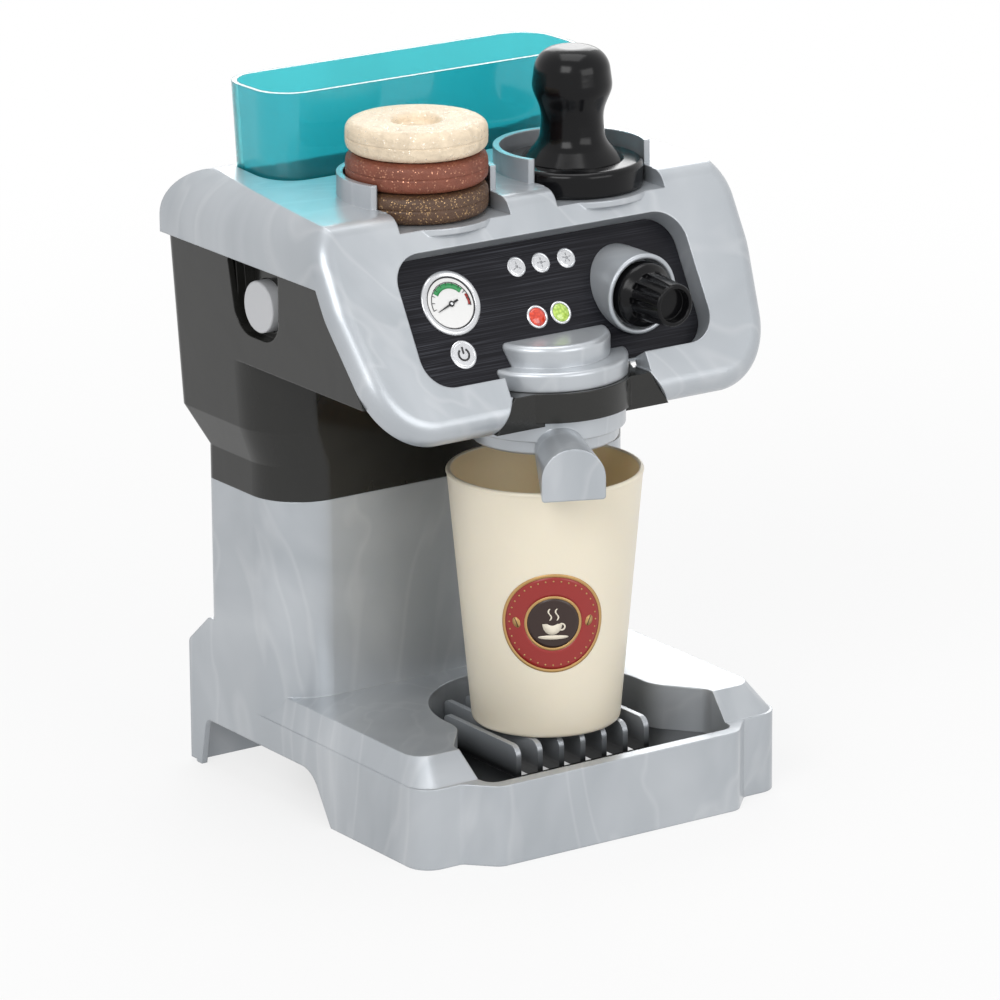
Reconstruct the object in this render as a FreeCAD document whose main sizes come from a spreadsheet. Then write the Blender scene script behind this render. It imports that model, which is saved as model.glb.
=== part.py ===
"""Toy coffee maker: parametric FreeCAD macro, millimetres, +Z up, front towards -Y, origin on the floor."""

import FreeCAD, Part

import math
import os
import re

import Sketcher

V = FreeCAD.Vector
Rotation = FreeCAD.Rotation
Placement = FreeCAD.Placement

doc = FreeCAD.newDocument("coffee_maker")

SIZES = [
    # general
    ("wall", 2.4, "wall of the moulded shells"),
    ("gap", 0.3, "running clearance between separate pieces"),
    ("rest_gap", 0.2, "gap under a piece that is only set down"),
    # base with its column
    ("base_half", 80.5, "half width of the base"),
    ("base_rear", 86.1, "rear of the foot"),
    ("rear_foot_top", 47.7, "height of the rear foot"),
    ("rear_foot_slope", 12.1, "height of the slope above the rear foot"),
    ("tray_front", -80.8, "front of the tray apron"),
    ("tray_front_half", 53.0, "half width of the tray apron"),
    ("tray_corner_y", -70.3, "front of the deck blocks beside the apron"),
    ("tray_corner_half", 63.0, "half width where the apron leaves the blocks"),
    ("lip_top", 30.5, "top of the tray lip"),
    ("deck_top", 39.5, "top of the deck"),
    ("deck_edge", 5.0, "width of the slope along the deck sides"),
    ("deck_front", -59.3, "front edge of the flat deck"),
    ("column_front", 18.5, "front of the column"),
    ("column_rear", 71.7, "rear of the column"),
    ("column_corner", 21.0, "radius of the column front corners"),
    ("column_top", 115.0, "joint between column and black housing"),
    ("arch_top", 19.0, "height of the arch under each side"),
    ("arch_rear", 75.0, "rear end of the arch"),
    ("arch_front", -6.0, "front end of the arch"),
    # drip recess and grille
    ("cup_axis_y", -32.8, "place of the cup and brewing axis"),
    ("recess_half", 43.0, "half width of the round rear of the recess"),
    ("recess_rear", 9.7, "rear of the recess"),
    ("recess_flare", 57.0, "half width of the recess at the front"),
    ("recess_front", -75.8, "front of the recess, behind the lip"),
    ("recess_floor", 20.0, "top of the ledge that carries the grille"),
    ("ledge", 3.0, "width of that ledge"),
    ("grille_plate", 2.4, "plate of the grille"),
    ("fin_pitch", 9.5, "distance between fins"),
    ("fin_thick", 2.2, "thickness of a fin"),
    ("fin_count", 7, "number of fins"),
    ("fin_top", 34.0, "top of the fins"),
    ("fin_front", -56.5, "front of the fins"),
    ("fin_rear", 4.5, "rear of the fins"),
    # black housing
    ("neck_top", 128.0, "where the housing starts to flare"),
    ("skirt_bottom", 142.0, "where the flare ends"),
    ("skirt_half", 85.5, "half width at the end of the flare"),
    ("skirt_rear", 81.7, "rear of the housing"),
    ("head_bottom", 168.0, "underside of the head"),
    ("seam", 208.0, "joint between housing and top cover"),
    ("seam_half", 90.0, "half width of the housing at the joint"),
    ("shelf_top", 190.0, "shelf under the water tank"),
    ("shelf_front", 28.0, "front of that shelf"),
    # fascia
    ("tilt", 29.6, "lean of the fascia from upright, in degrees"),
    ("panel_top_y", -20.8, "panel plane at the top of the panel"),
    ("panel_top_z", 212.5, "height of the top of the panel"),
    ("panel_long", 50.5, "height of the panel along its slope"),
    ("panel_half", 63.3, "half width of the panel"),
    ("panel_corner", 12.0, "radius of the panel corners"),
    ("panel_thick", 0.8, "thickness of the panel"),
    ("panel_sink", 8.0, "depth of the panel below the bezel ridge"),
    ("seat_thick", 2.4, "wall behind the panel"),
    # top cover
    ("cover_half", 92.0, "half width of the top cover"),
    ("bezel_low_half", 84.0, "half width of the bezel at its lower corners"),
    ("bezel_bottom", 153.0, "bottom of the bezel"),
    ("bezel_round", 7.0, "rounding of the bezel ridge"),
    ("roof_front", 229.0, "roof height behind the bezel"),
    ("roof_rear", 234.0, "roof height at the rear"),
    ("roof_corner", 20.0, "radius along the roof sides"),
    ("notch_half", 38.0, "half width of the bezel notch at the bottom"),
    ("notch_top_half", 30.0, "half width of the bezel notch at the top"),
    ("rear_round", 18.0, "rounding of the roof's rear edge"),
    # pads and tamper
    ("pocket_left_x", -32.0, "pocket of the coffee pads"),
    ("pocket_right_x", 36.5, "pocket of the tamper"),
    ("pocket_y", 1.2, "both pockets"),
    ("pocket_floor", 223.4, "floor of the pockets"),
    ("pocket_top", 238.5, "top of the pocket walls"),
    ("pocket_mouth_half", 24.0, "half width of the open front"),
    ("pocket_mouth", 11.0, "open front, ahead of the pocket axis"),
    ("pad_radius", 26.0, "coffee pad"),
    ("pad_thick", 11.2, "coffee pad"),
    ("pad_dimple", 10.0, "radius of the dimple in a pad"),
    ("pad_dimple_deep", 2.5, "depth of the dimple"),
    ("tamper_radius", 26.0, "disc of the tamper"),
    ("tamper_disc", 9.7, "thickness of the tamper disc"),
    ("tamper_top", 275.0, "top of the tamper handle"),
    ("bulb_radius", 14.0, "bulb of the tamper handle"),
    ("waist_radius", 11.2, "waist of the tamper handle"),
    ("tamper_foot", 19.0, "flared foot of the tamper handle"),
    # water tank
    ("tank_half", 70.0, "half width of the tank at its rim"),
    ("tank_front", 35.6, "front of the tank at its rim"),
    ("tank_rear", 75.7, "rear of the tank at its rim"),
    ("tank_rim", 264.0, "top of the tank"),
    ("tank_corner", 14.0, "radius of the tank corners"),
    ("tank_wall", 1.8, "wall of the tank"),
    ("tank_draft", 3.0, "how much narrower each side is at the bottom"),
    ("spigot_radius", 7.0, "outlet under the tank"),
    ("spigot_long", 8.0, "length of the outlet"),
    ("spigot_bore", 3.0, "bore of the outlet"),
    ("tank_y", 55.6, "outlet axis"),
    # brewing group
    ("head_top", 181.0, "top of the upper tier of the brew head"),
    ("head_step", 173.0, "top of the lower tier"),
    ("head_low", 166.0, "underside of the lower tier"),
    ("head_upper_radius", 24.0, "upper tier"),
    ("head_lower_radius", 30.5, "lower tier"),
    ("collar_radius", 32.4, "black collar under the brew head"),
    ("collar_bottom", 155.0, "bottom of the black collar"),
    ("lug_rise", 1.1, "how far the lugs stand out"),
    ("lug_bottom", 158.0, "underside of the lugs"),
    ("lug_thick", 2.2, "thickness of the lugs"),
    ("filter_radius", 29.6, "ring of the filter holder"),
    ("filter_top", 162.0, "top of the filter holder"),
    ("filter_step", 147.0, "joint to the lower ring"),
    ("filter_bottom", 141.5, "bottom of the lower ring"),
    ("filter_low_radius", 27.0, "lower ring"),
    ("filter_wall", 2.2, "wall of the filter holder"),
    ("handle_angle", 23.5, "filter handle, degrees from straight ahead"),
    ("handle_reach", 53.0, "end of the handle from the brewing axis"),
    ("handle_end_half", 11.7, "half width of the handle end"),
    ("handle_end_low", 132.0, "underside of the handle end"),
    ("handle_end_high", 151.0, "top of the handle end"),
    ("handle_root_half", 9.2, "half width of the handle root"),
    ("handle_root_low", 142.0, "underside of the handle root"),
    ("handle_root_high", 152.5, "top of the handle root"),
    ("nozzle_radius", 5.0, "water outlet"),
    ("nozzle_bore", 3.0, "bore of the water outlet"),
    # cup
    ("cup_high", 95.6, "height of the cup"),
    ("cup_low_radius", 27.3, "bottom of the cup"),
    ("cup_rim_radius", 36.0, "rim of the cup"),
    ("cup_wall", 1.5, "wall of the cup"),
    # rotary knob
    ("knob_x", 36.5, "knob axis"),
    ("knob_z", 191.0, "knob axis"),
    ("tube_radius", 15.0, "silver collar of the knob"),
    ("tube_bore", 13.0, "bore of that collar"),
    ("tube_front", -43.3, "front rim of that collar"),
    ("knob_tip", -63.3, "front of the knob"),
    ("knob_base", -40.5, "rear of the knob skirt"),
    ("knob_radius", 12.0, "knob skirt"),
    ("grip_radius", 9.0, "fluted grip at its root"),
    ("grip_end", 7.9, "fluted grip at its tip"),
    ("flute_count", 10, "flutes of the grip"),
    ("flute_radius", 1.3, "a flute"),
    ("tip_recess", 6.2, "radius of the recess in the tip"),
    ("shaft_radius", 3.0, "knob shaft"),
    ("shaft_fit", 0.08, "clearance of the shaft in its sleeve"),
    ("sleeve_radius", 6.0, "sleeve of the shaft"),
    ("web_front", -31.5, "front of the web behind the knob"),
    ("web_thick", 2.4, "that web"),
    ("sleeve_rear", -21.5, "rear end of the sleeve"),
    ("wheel_radius", 9.0, "click wheel"),
    ("wheel_front", -20.5, "front of the click wheel"),
    ("wheel_thick", 4.0, "click wheel"),
    ("wheel_teeth", 12, "notches of the click wheel"),
    ("screw_head", 3.0, "radius of a screw head"),
    ("screw_shank", 1.25, "radius of a screw shank"),
    # side button
    ("button_y", 21.7, "button axis"),
    ("button_z", 191.5, "button axis"),
    ("button_radius", 9.6, "side button"),
    ("scoop_deep", 6.0, "depth of the finger recess"),
    ("button_proud", 5.0, "how far the button stands out of the recess"),
    ("cage_radius", 14.5, "spring cage behind the button"),
    ("cage_end", -68.0, "inner end of the cage"),
    ("spring_radius", 6.0, "coil of the button spring"),
    ("spring_wire", 0.6, "wire radius of the spring"),
    ("spring_turns", 4, "turns of the spring"),
]

sheet = doc.addObject("Spreadsheet::Sheet", "Sizes")
for row, (name, value, words) in enumerate(SIZES, start=1):
    sheet.set(f"A{row}", name)
    sheet.set(f"B{row}", str(value))
    sheet.set(f"C{row}", words)
    sheet.setAlias(f"B{row}", name)
doc.recompute()

FUNCTIONS = "sin|cos|tan|sqrt|atan"


def bound(expression):
    """An expression in size names, as the document's expression engine reads it."""
    return re.sub(rf"\b(?!(?:{FUNCTIONS})\b)[a-z][a-z_0-9]*", r"Sizes.\g<0>", str(expression))


def size(expression):
    """The present value of an expression in size names."""
    return float(sheet.evalExpression(bound(expression)))


UPRIGHT = Rotation()
FORWARD = Rotation(V(1, 0, 0), 90)
TO_THE_LEFT = Rotation(V(0, 1, 0), -90)


def new_body(label, x="0", y="0", z="0", rotation=UPRIGHT):
    """An empty sub-part whose own origin lies at x, y, z; rotation says where its Z axis points."""
    body = doc.addObject("PartDesign::Body", label)
    body.Label = label
    body.Placement = Placement(V(), rotation)
    for axis, value in zip("xyz", (x, y, z)):
        if value != "0":
            body.setExpression(f"Placement.Base.{axis}", bound(value))
    return body


def new_sketch(body, name, plane, level="0"):
    """An empty sketch on one of the body's origin planes, moved along its normal."""
    sketch = body.newObject("Sketcher::SketchObject", f"{body.Label}_{name}")
    support = next(item for item in body.Origin.OriginFeatures if item.Role == f"{plane}_Plane")
    sketch.AttachmentSupport = (support, [""])
    sketch.MapMode = "FlatFace"
    if level != "0":
        sketch.setExpression("AttachmentOffset.Base.z", bound(level))
    return sketch


def fascia_sketch(body, name, depth="0"):
    """A sketch whose y axis climbs the fascia from the top of the panel; depth counts inwards."""
    sketch = new_sketch(body, name, "XZ")
    y_plane = size(f"panel_top_y + ({depth}) * cos(tilt)")
    z_plane = size(f"panel_top_z - ({depth}) * sin(tilt)")
    sketch.AttachmentOffset = Placement(V(0, z_plane, -y_plane), Rotation(V(1, 0, 0), -size("tilt")))
    return sketch


def constrain(sketch, relations):
    """Adds constraints at once; a relation that ends in an expression is tied to it."""
    first = sketch.ConstraintCount
    sketch.addConstraint([relation[0] for relation in relations])
    for index, relation in enumerate(relations, start=first):
        if relation[1]:
            sketch.setExpression(f"Constraints[{index}]", bound(relation[1]))


def at_point(geometry, position, x, y):
    """Relations that hold a point at two expressions."""
    return [
        (Sketcher.Constraint("DistanceX", -1, 1, geometry, position, size(x)), x),
        (Sketcher.Constraint("DistanceY", -1, 1, geometry, position, size(y)), y),
    ]


def of_radius(geometry, radius):
    """Relation that holds the radius of a circle or an arc."""
    return (Sketcher.Constraint("Radius", geometry, size(radius)), radius)


def add_circle(sketch, radius, x="0", y="0"):
    """A circle whose centre and radius are tied to expressions."""
    ring = sketch.addGeometry(Part.Circle(V(size(x), size(y), 0), V(0, 0, 1), size(radius)), False)
    constrain(sketch, at_point(ring, 3, x, y) + [of_radius(ring, radius)])


def corner_arc(before, corner, after, radius):
    """Tangent points, arc and turning sense of a rounded corner."""
    inward = (before - corner).normalize()
    outward = (after - corner).normalize()
    half = inward.getAngle(outward) / 2
    reach = radius / math.tan(half)
    start = corner + inward * reach
    end = corner + outward * reach
    centre = corner + (inward + outward).normalize() * (radius / math.sin(half))
    turns_left = inward.cross(outward).z < 0
    first, last = (start, end) if turns_left else (end, start)
    angles = [math.atan2(point.y - centre.y, point.x - centre.x) for point in (first, last)]
    if angles[1] < angles[0]:
        angles[1] += 2 * math.pi
    arc = Part.ArcOfCircle(Part.Circle(centre, V(0, 0, 1), radius), angles[0], angles[1])
    return start, end, arc, turns_left


def add_outline(sketch, corners):
    """A closed outline of straight sides; a corner is (x, y) or (x, y, radius), in expressions."""
    points = [V(size(corner[0]), size(corner[1]), 0) for corner in corners]
    count = len(corners)
    rounded = []
    for index, corner in enumerate(corners):
        if len(corner) == 3:
            radius = size(corner[2])
            rounded.append(corner_arc(points[index - 1], points[index], points[(index + 1) % count], radius))
        else:
            rounded.append(None)
    lines = []
    for index in range(count):
        after = (index + 1) % count
        start = rounded[index][1] if rounded[index] else points[index]
        end = rounded[after][0] if rounded[after] else points[after]
        lines.append(sketch.addGeometry(Part.LineSegment(start, end), False))
    relations = []
    for index, corner in enumerate(corners):
        before = lines[index - 1]
        after = lines[index]
        if not rounded[index]:
            relations.append((Sketcher.Constraint("Coincident", before, 2, after, 1), None))
            relations += at_point(after, 1, corner[0], corner[1])
            continue
        start, end, arc, turns_left = rounded[index]
        bend = sketch.addGeometry(arc, False)
        meets_before, meets_after = (1, 2) if turns_left else (2, 1)
        mark = sketch.addGeometry(Part.Point(points[index]), True)
        relations += [
            (Sketcher.Constraint("Tangent", before, 2, bend, meets_before), None),
            (Sketcher.Constraint("Tangent", after, 1, bend, meets_after), None),
            (Sketcher.Constraint("PointOnObject", mark, 1, before), None),
            (Sketcher.Constraint("PointOnObject", mark, 1, after), None),
            of_radius(bend, corner[2]),
        ]
        relations += at_point(mark, 1, corner[0], corner[1])
    constrain(sketch, relations)
    return sketch


def outline(body, name, plane, corners, level="0"):
    return add_outline(new_sketch(body, name, plane, level), corners)


def circle(body, name, plane, radius, x="0", y="0", level="0"):
    sketch = new_sketch(body, name, plane, level)
    add_circle(sketch, radius, x, y)
    return sketch


def mirrored(corners):
    """Corners of the right half, and the same corners on the left."""
    left = [(f"-({corner[0]})", *corner[1:]) for corner in reversed(corners)]
    return list(corners) + left


def rectangle(x_low, x_high, y_low, y_high, radius=None):
    """Corners of a rectangle, rounded or not."""
    tail = (radius,) if radius else ()
    return [(x_high, y_low, *tail), (x_high, y_high, *tail), (x_low, y_high, *tail), (x_low, y_low, *tail)]


def feature(body, kind, sketch, length, both=False, reverse=False):
    """A Pad or Pocket of a sketch."""
    made = body.newObject(f"PartDesign::{kind}", f"{sketch.Label}_{kind.lower()}")
    made.Profile = sketch
    made.setExpression("Length", bound(length))
    made.Midplane = both
    made.Reversed = reverse
    doc.recompute()
    return made


def pad(body, sketch, length, both=False, reverse=False):
    return feature(body, "Pad", sketch, length, both, reverse)


def pocket(body, sketch, length, both=False, reverse=False):
    """A cut; it must take something away."""
    volume = body.Shape.Volume
    made = feature(body, "Pocket", sketch, length, both, reverse)
    if body.Shape.Volume > volume - 0.01:
        raise RuntimeError(f"{sketch.Label} cuts nothing: {made.State}")
    return made


def loft(body, sketches, cut=False):
    """Straight walls through a row of outlines."""
    kind = "SubtractiveLoft" if cut else "AdditiveLoft"
    made = body.newObject(f"PartDesign::{kind}", f"{sketches[0].Label}_loft")
    made.Profile = sketches[0]
    made.Sections = sketches[1:]
    made.Ruled = True
    doc.recompute()
    return made


def turn(body, sketch, cut=False, angle=360.0, both=False, axis="V_Axis"):
    """A full or part turn about one of the sketch's own axes."""
    made = body.newObject("PartDesign::Groove" if cut else "PartDesign::Revolution", f"{sketch.Label}_turn")
    made.Profile = sketch
    made.ReferenceAxis = (sketch, [axis])
    made.Angle = angle
    made.Midplane = both
    doc.recompute()
    return made


def pattern(body, source, count, angle=360.0):
    """Copies of a feature around the body's Z axis."""
    made = body.newObject("PartDesign::PolarPattern", f"{source.Label}_pattern")
    made.Originals = [source]
    axis = next(item for item in body.Origin.OriginFeatures if item.Role == "Z_Axis")
    made.Axis = (axis, [""])
    made.Angle = angle
    made.setExpression("Occurrences", bound(count))
    body.Tip = made
    doc.recompute()
    return made


def soften(body, radius, choose):
    """Rounds the edges of the present shape that the test chooses."""
    base = body.Tip
    names = [f"Edge{i}" for i, edge in enumerate(base.Shape.Edges, start=1) if choose(edge)]
    made = body.newObject("PartDesign::Fillet", f"{body.Label}_round_{len(body.Group)}")
    made.Base = (base, names)
    made.setExpression("Radius", bound(radius))
    doc.recompute()
    return made


def at_height(z, tolerance=0.05):
    """Edges that lie wholly at one height of the body."""
    return lambda edge: abs(edge.BoundBox.ZMin - z) < tolerance and abs(edge.BoundBox.ZMax - z) < tolerance


# Heights and depths of the slanted fascia.
def seat_y(z, depth="0"):
    """Y of the panel plane at a height, or of a plane behind it."""
    return f"panel_top_y + ({z} - panel_top_z) * tan(tilt) + ({depth}) / cos(tilt)"


RIDGE = "0 - panel_sink"


def column_plan(inset="0", half="base_half", rear="column_rear", front="column_front"):
    """Plan of the column: large corners in front, small ones behind."""
    return mirrored(
        [
            (f"{half} - {inset}", f"{front} + {inset}", f"column_corner - {inset}"),
            (f"{half} - {inset}", f"{rear} - {inset}", f"5 - {inset}"),
        ]
    )


def base_plan(inset="0"):
    """Plan of the base with the apron of the tray."""
    return mirrored(
        [
            (f"tray_front_half - {inset} / 2", f"tray_front + {inset}", "6"),
            (f"tray_corner_half - {inset} / 2", f"tray_corner_y + {inset}", "3"),
            (f"base_half - {inset}", f"tray_corner_y + {inset}", f"9 - {inset}"),
            (f"base_half - {inset}", f"base_rear - {inset}", f"5 - {inset}"),
        ]
    )


def recess_plan(inset="0"):
    """Plan of the drip recess: round behind, flared in front."""
    return mirrored(
        [
            (f"recess_flare - 3 - {inset}", f"recess_front + {inset}", "5"),
            (f"recess_flare - {inset}", "deck_front + 3", "6"),
            (f"recess_half - {inset}", "cup_axis_y - 6", "14"),
            (f"recess_half - {inset}", f"recess_rear - {inset}", f"recess_half - {inset} - 1.5"),
        ]
    )


def make_base_housing():
    """Base, deck and column, one thin moulding that is open underneath."""
    body = new_body("base_housing")
    pad(body, outline(body, "plan", "XY", base_plan()), "lip_top")
    foot_edge = rectangle("-base_half", "base_half", "tray_corner_y", "base_rear", "9")
    top_half = "base_half - deck_edge"
    top_edge = rectangle(f"-({top_half})", top_half, "deck_front", "base_rear - 5", "8")
    deck_low = outline(body, "deck_low", "XY", foot_edge, "lip_top - 1")
    deck_high = outline(body, "deck_high", "XY", top_edge, "deck_top")
    loft(body, [deck_low, deck_high])
    pad(body, outline(body, "column", "XY", column_plan(), "lip_top"), "column_top - lip_top")
    rear = [
        ("column_rear - 30", "1"),
        ("base_rear", "1"),
        ("base_rear", "rear_foot_top", "3"),
        ("column_rear", "rear_foot_top + rear_foot_slope", "3"),
        ("column_rear - 30", "rear_foot_top + rear_foot_slope"),
    ]
    pad(body, outline(body, "rear_foot", "YZ", rear), "base_half * 2", both=True)

    low_top = "recess_floor - grille_plate"
    low_cavity = outline(body, "low_cavity", "XY", base_plan("wall"), "0 - 1")
    pocket(body, low_cavity, f"{low_top} + 1", reverse=True)
    deck_cavity = rectangle("deck_edge + wall - base_half", "base_half - deck_edge - wall",
                            "deck_front + wall", "column_rear - wall", "6")
    pocket(body, outline(body, "deck_cavity", "XY", deck_cavity, f"{low_top} - 1"),
           f"deck_top - wall - ({low_top}) + 1", reverse=True)
    pocket(body, outline(body, "column_cavity", "XY", column_plan("wall"), f"{low_top} - 1"),
           f"column_top - ({low_top}) + 2", reverse=True)
    rear_cavity = [
        ("column_rear - 29", "0.5"),
        ("base_rear - wall", "0.5"),
        ("base_rear - wall", "rear_foot_top - wall / 2", "2"),
        ("column_rear - wall", "rear_foot_top + rear_foot_slope - wall", "2"),
        ("column_rear - 29", "rear_foot_top + rear_foot_slope - wall"),
    ]
    pocket(body, outline(body, "rear_cavity", "YZ", rear_cavity), "(base_half - wall) * 2", both=True)

    pad(body, outline(body, "tub_low", "XY", recess_plan("-wall"), low_top), f"lip_top - 0.5 - ({low_top})")
    tub = mirrored(
        [
            ("recess_flare + wall", "deck_front + wall"),
            ("recess_flare + wall", "deck_front + 5"),
            ("recess_half + wall", "cup_axis_y - 6", "14"),
            ("recess_half + wall", "recess_rear + wall", "recess_half + wall - 1.5"),
        ]
    )
    pad(body, outline(body, "tub_high", "XY", tub, "lip_top - 1"), "deck_top - lip_top")
    pocket(body, outline(body, "recess", "XY", recess_plan(), "recess_floor"), "deck_top", reverse=True)
    pocket(body, outline(body, "recess_opening", "XY", recess_plan("ledge"), "0"), "deck_top", reverse=True)

    arch = [
        ("arch_rear + 4", "-1"),
        ("arch_rear", "arch_top", "4"),
        ("arch_front + 8", "arch_top", "12"),
        ("arch_front - 5", "-1"),
    ]
    pocket(body, outline(body, "arch", "YZ", arch), "base_half * 2 + 4", both=True)
    for side, (x, y) in enumerate(BASE_SCREWS):
        boss = circle(body, f"boss_{side}", "XY", "screw_head + 1", x, y, "column_top - 22")
        pad(body, boss, "22")
        hole = circle(body, f"boss_hole_{side}", "XY", "screw_shank", x, y, "column_top - 16")
        pocket(body, hole, "17", reverse=True)
    return body


BASE_SCREWS = [
    ("base_half - wall - screw_head - 0.5", "column_rear - 12"),
    ("base_half - wall - screw_head - 0.5", "column_front + 26"),
    ("0 - (base_half - wall - screw_head - 0.5)", "column_front + 26"),
    ("0 - (base_half - wall - screw_head - 0.5)", "column_rear - 12"),
]
COVER_SCREWS = [
    ("seam_half - wall - screw_head - 1.2", "skirt_rear - 12"),
    ("seam_half - wall - screw_head - 1.2", "panel_top_y + 12"),
    ("0 - (seam_half - wall - screw_head - 1.2)", "panel_top_y + 12"),
    ("0 - (seam_half - wall - screw_head - 1.2)", "skirt_rear - 12"),
]


def make_drip_grille():
    """Slotted plate with upright fins, set down in the recess."""
    body = new_body("drip_grille")
    pad(body, outline(body, "plate", "XY", recess_plan("gap"), "recess_floor + 0.05"), "grille_plate")
    for fin in range(int(size("fin_count"))):
        x = f"({fin} - (fin_count - 1) / 2) * fin_pitch"
        profile = [
            ("fin_front", "recess_floor + 1"),
            ("fin_rear", "recess_floor + 1"),
            ("fin_rear", "fin_top", "2"),
            ("fin_front", "fin_top", "4"),
        ]
        if abs(size(x)) > size("recess_half") * 0.6:
            profile[1] = ("fin_rear - 14", "recess_floor + 1")
            profile[2] = ("fin_rear - 14", "fin_top", "2")
        pad(body, outline(body, f"fin_{fin}", "YZ", profile, x), "fin_thick", both=True)
    for slot in range(int(size("fin_count")) - 1):
        x = f"({slot} + 0.5 - (fin_count - 1) / 2) * fin_pitch"
        half = "(fin_pitch - fin_thick) / 2"
        edges = rectangle(f"{x} - {half}", f"{x} + {half}", "fin_front + 1", "fin_rear - 14")
        pocket(body, outline(body, f"slot_{slot}", "XY", edges, "recess_floor - 1"), "fin_top", reverse=True)
    return body


def skirt_half_at(z):
    """Half width of the flaring skirt at a height."""
    return f"skirt_half + ({z} - skirt_bottom) * (seam_half - skirt_half) / (seam - skirt_bottom)"


def make_body_housing():
    """Black housing: the upper column, the flared skirt and the head that reaches forward."""
    body = new_body("body_housing")
    levels = [
        ("column_top", "base_half", "column_rear"),
        ("neck_top", "base_half", "column_rear"),
        ("skirt_bottom", "skirt_half", "skirt_rear"),
        ("seam", "seam_half", "skirt_rear"),
    ]
    walls = [
        outline(body, f"column_{i}", "XY", column_plan("0", half, rear), z)
        for i, (z, half, rear) in enumerate(levels)
    ]
    loft(body, walls)
    head = []
    for i, z in enumerate(("head_bottom", "seam")):
        half = skirt_half_at(z)
        edges = rectangle(f"-({half})", half, seat_y(z), "column_front + 30")
        head.append(outline(body, f"head_{i}", "XY", edges, z))
    loft(body, head)

    levels[0] = ("column_top + wall", "base_half", "column_rear")
    levels[3] = ("seam + 1", skirt_half_at("(seam + 1)"), "skirt_rear")
    hollow = [
        outline(body, f"hollow_{i}", "XY", column_plan("wall", half, rear), z)
        for i, (z, half, rear) in enumerate(levels)
    ]
    loft(body, hollow, cut=True)
    head = []
    for i, z in enumerate(("(head_bottom + wall)", "(seam + 1)")):
        half = f"{skirt_half_at(z)} - wall"
        edges = rectangle(f"-({half})", half, f"{seat_y(z)} - 4", "column_front + 29")
        head.append(outline(body, f"head_hollow_{i}", "XY", edges, z))
    loft(body, head, cut=True)
    half = f"{skirt_half_at('head_bottom')} - wall"
    front_edge = f"{seat_y('head_bottom')} - 4"
    front = rectangle(f"-({half})", half, front_edge, f"{seat_y('head_bottom', 'seat_thick')} + 4")
    pocket(body, outline(body, "head_front", "XY", front, "head_bottom - 1"), "wall + 2", reverse=True)

    shelf = rectangle("-(skirt_half)", "skirt_half", "shelf_front", "skirt_rear - 1")
    pad(body, outline(body, "shelf", "XY", shelf, "shelf_top - wall"), "wall")
    below_shelf = "shelf_top - wall - 1"
    shelf_hole = circle(body, "shelf_hole", "XY", "spigot_radius + gap * 2", "0", "tank_y", below_shelf)
    pocket(body, shelf_hole, "wall + 2", reverse=True)
    below_head = "head_bottom - 1"
    nozzle_hole = circle(body, "nozzle_hole", "XY", "nozzle_radius + 0.1", "0", "cup_axis_y", below_head)
    pocket(body, nozzle_hole, "wall + 2", reverse=True)

    cage = circle(body, "cage", "YZ", "cage_radius", "button_y", "button_z", "cage_end")
    pad(body, cage, "skirt_half + cage_end", reverse=True)
    scoop_floor = f"0 - ({skirt_half_at('button_z')}) + scoop_deep"
    scoop = [
        ("button_y - 14", "button_z - 12", "11"),
        ("button_y + 14", "button_z - 12", "11"),
        ("button_y + 17", "seam - 1", "1"),
        ("button_y - 17", "seam - 1", "1"),
    ]
    lining = [
        ("button_y - 14 - wall", "button_z - 12 - wall", "11"),
        ("button_y + 14 + wall", "button_z - 12 - wall", "11"),
        ("button_y + 17 + wall", "seam", "1"),
        ("button_y - 17 - wall", "seam", "1"),
    ]
    behind = f"{scoop_floor} + wall"
    pad(body, outline(body, "scoop_lining", "YZ", lining, behind), "scoop_deep", reverse=True)
    pocket(body, outline(body, "scoop", "YZ", scoop, scoop_floor), "scoop_deep + 6")
    cuts = [
        ("cage_hollow", "cage_radius - wall", behind, f"cage_end - wall - ({behind})", True),
        ("button_hole", "button_radius + gap", "cage_end - 12", "40", False),
        ("stem_hole", "screw_head + gap", "cage_end + 1", "10", False),
    ]
    for name, radius, level, deep, inwards in cuts:
        ring = circle(body, name, "YZ", radius, "button_y", "button_z", level)
        pocket(body, ring, deep, reverse=inwards)
    for side, (x, y) in enumerate(COVER_SCREWS):
        boss = circle(body, f"boss_{side}", "XY", "screw_head + 1.5", x, y, "seam - 14")
        pad(body, boss, "14")
        hole = circle(body, f"boss_hole_{side}", "XY", "screw_shank + 0.1", x, y, "seam - 15")
        pocket(body, hole, "16", reverse=True)
    for side, (x, y) in enumerate(BASE_SCREWS):
        hole = circle(body, f"floor_hole_{side}", "XY", "screw_shank + 0.1", x, y, "column_top - 1")
        pocket(body, hole, "wall + 2", reverse=True)
    return body


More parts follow.
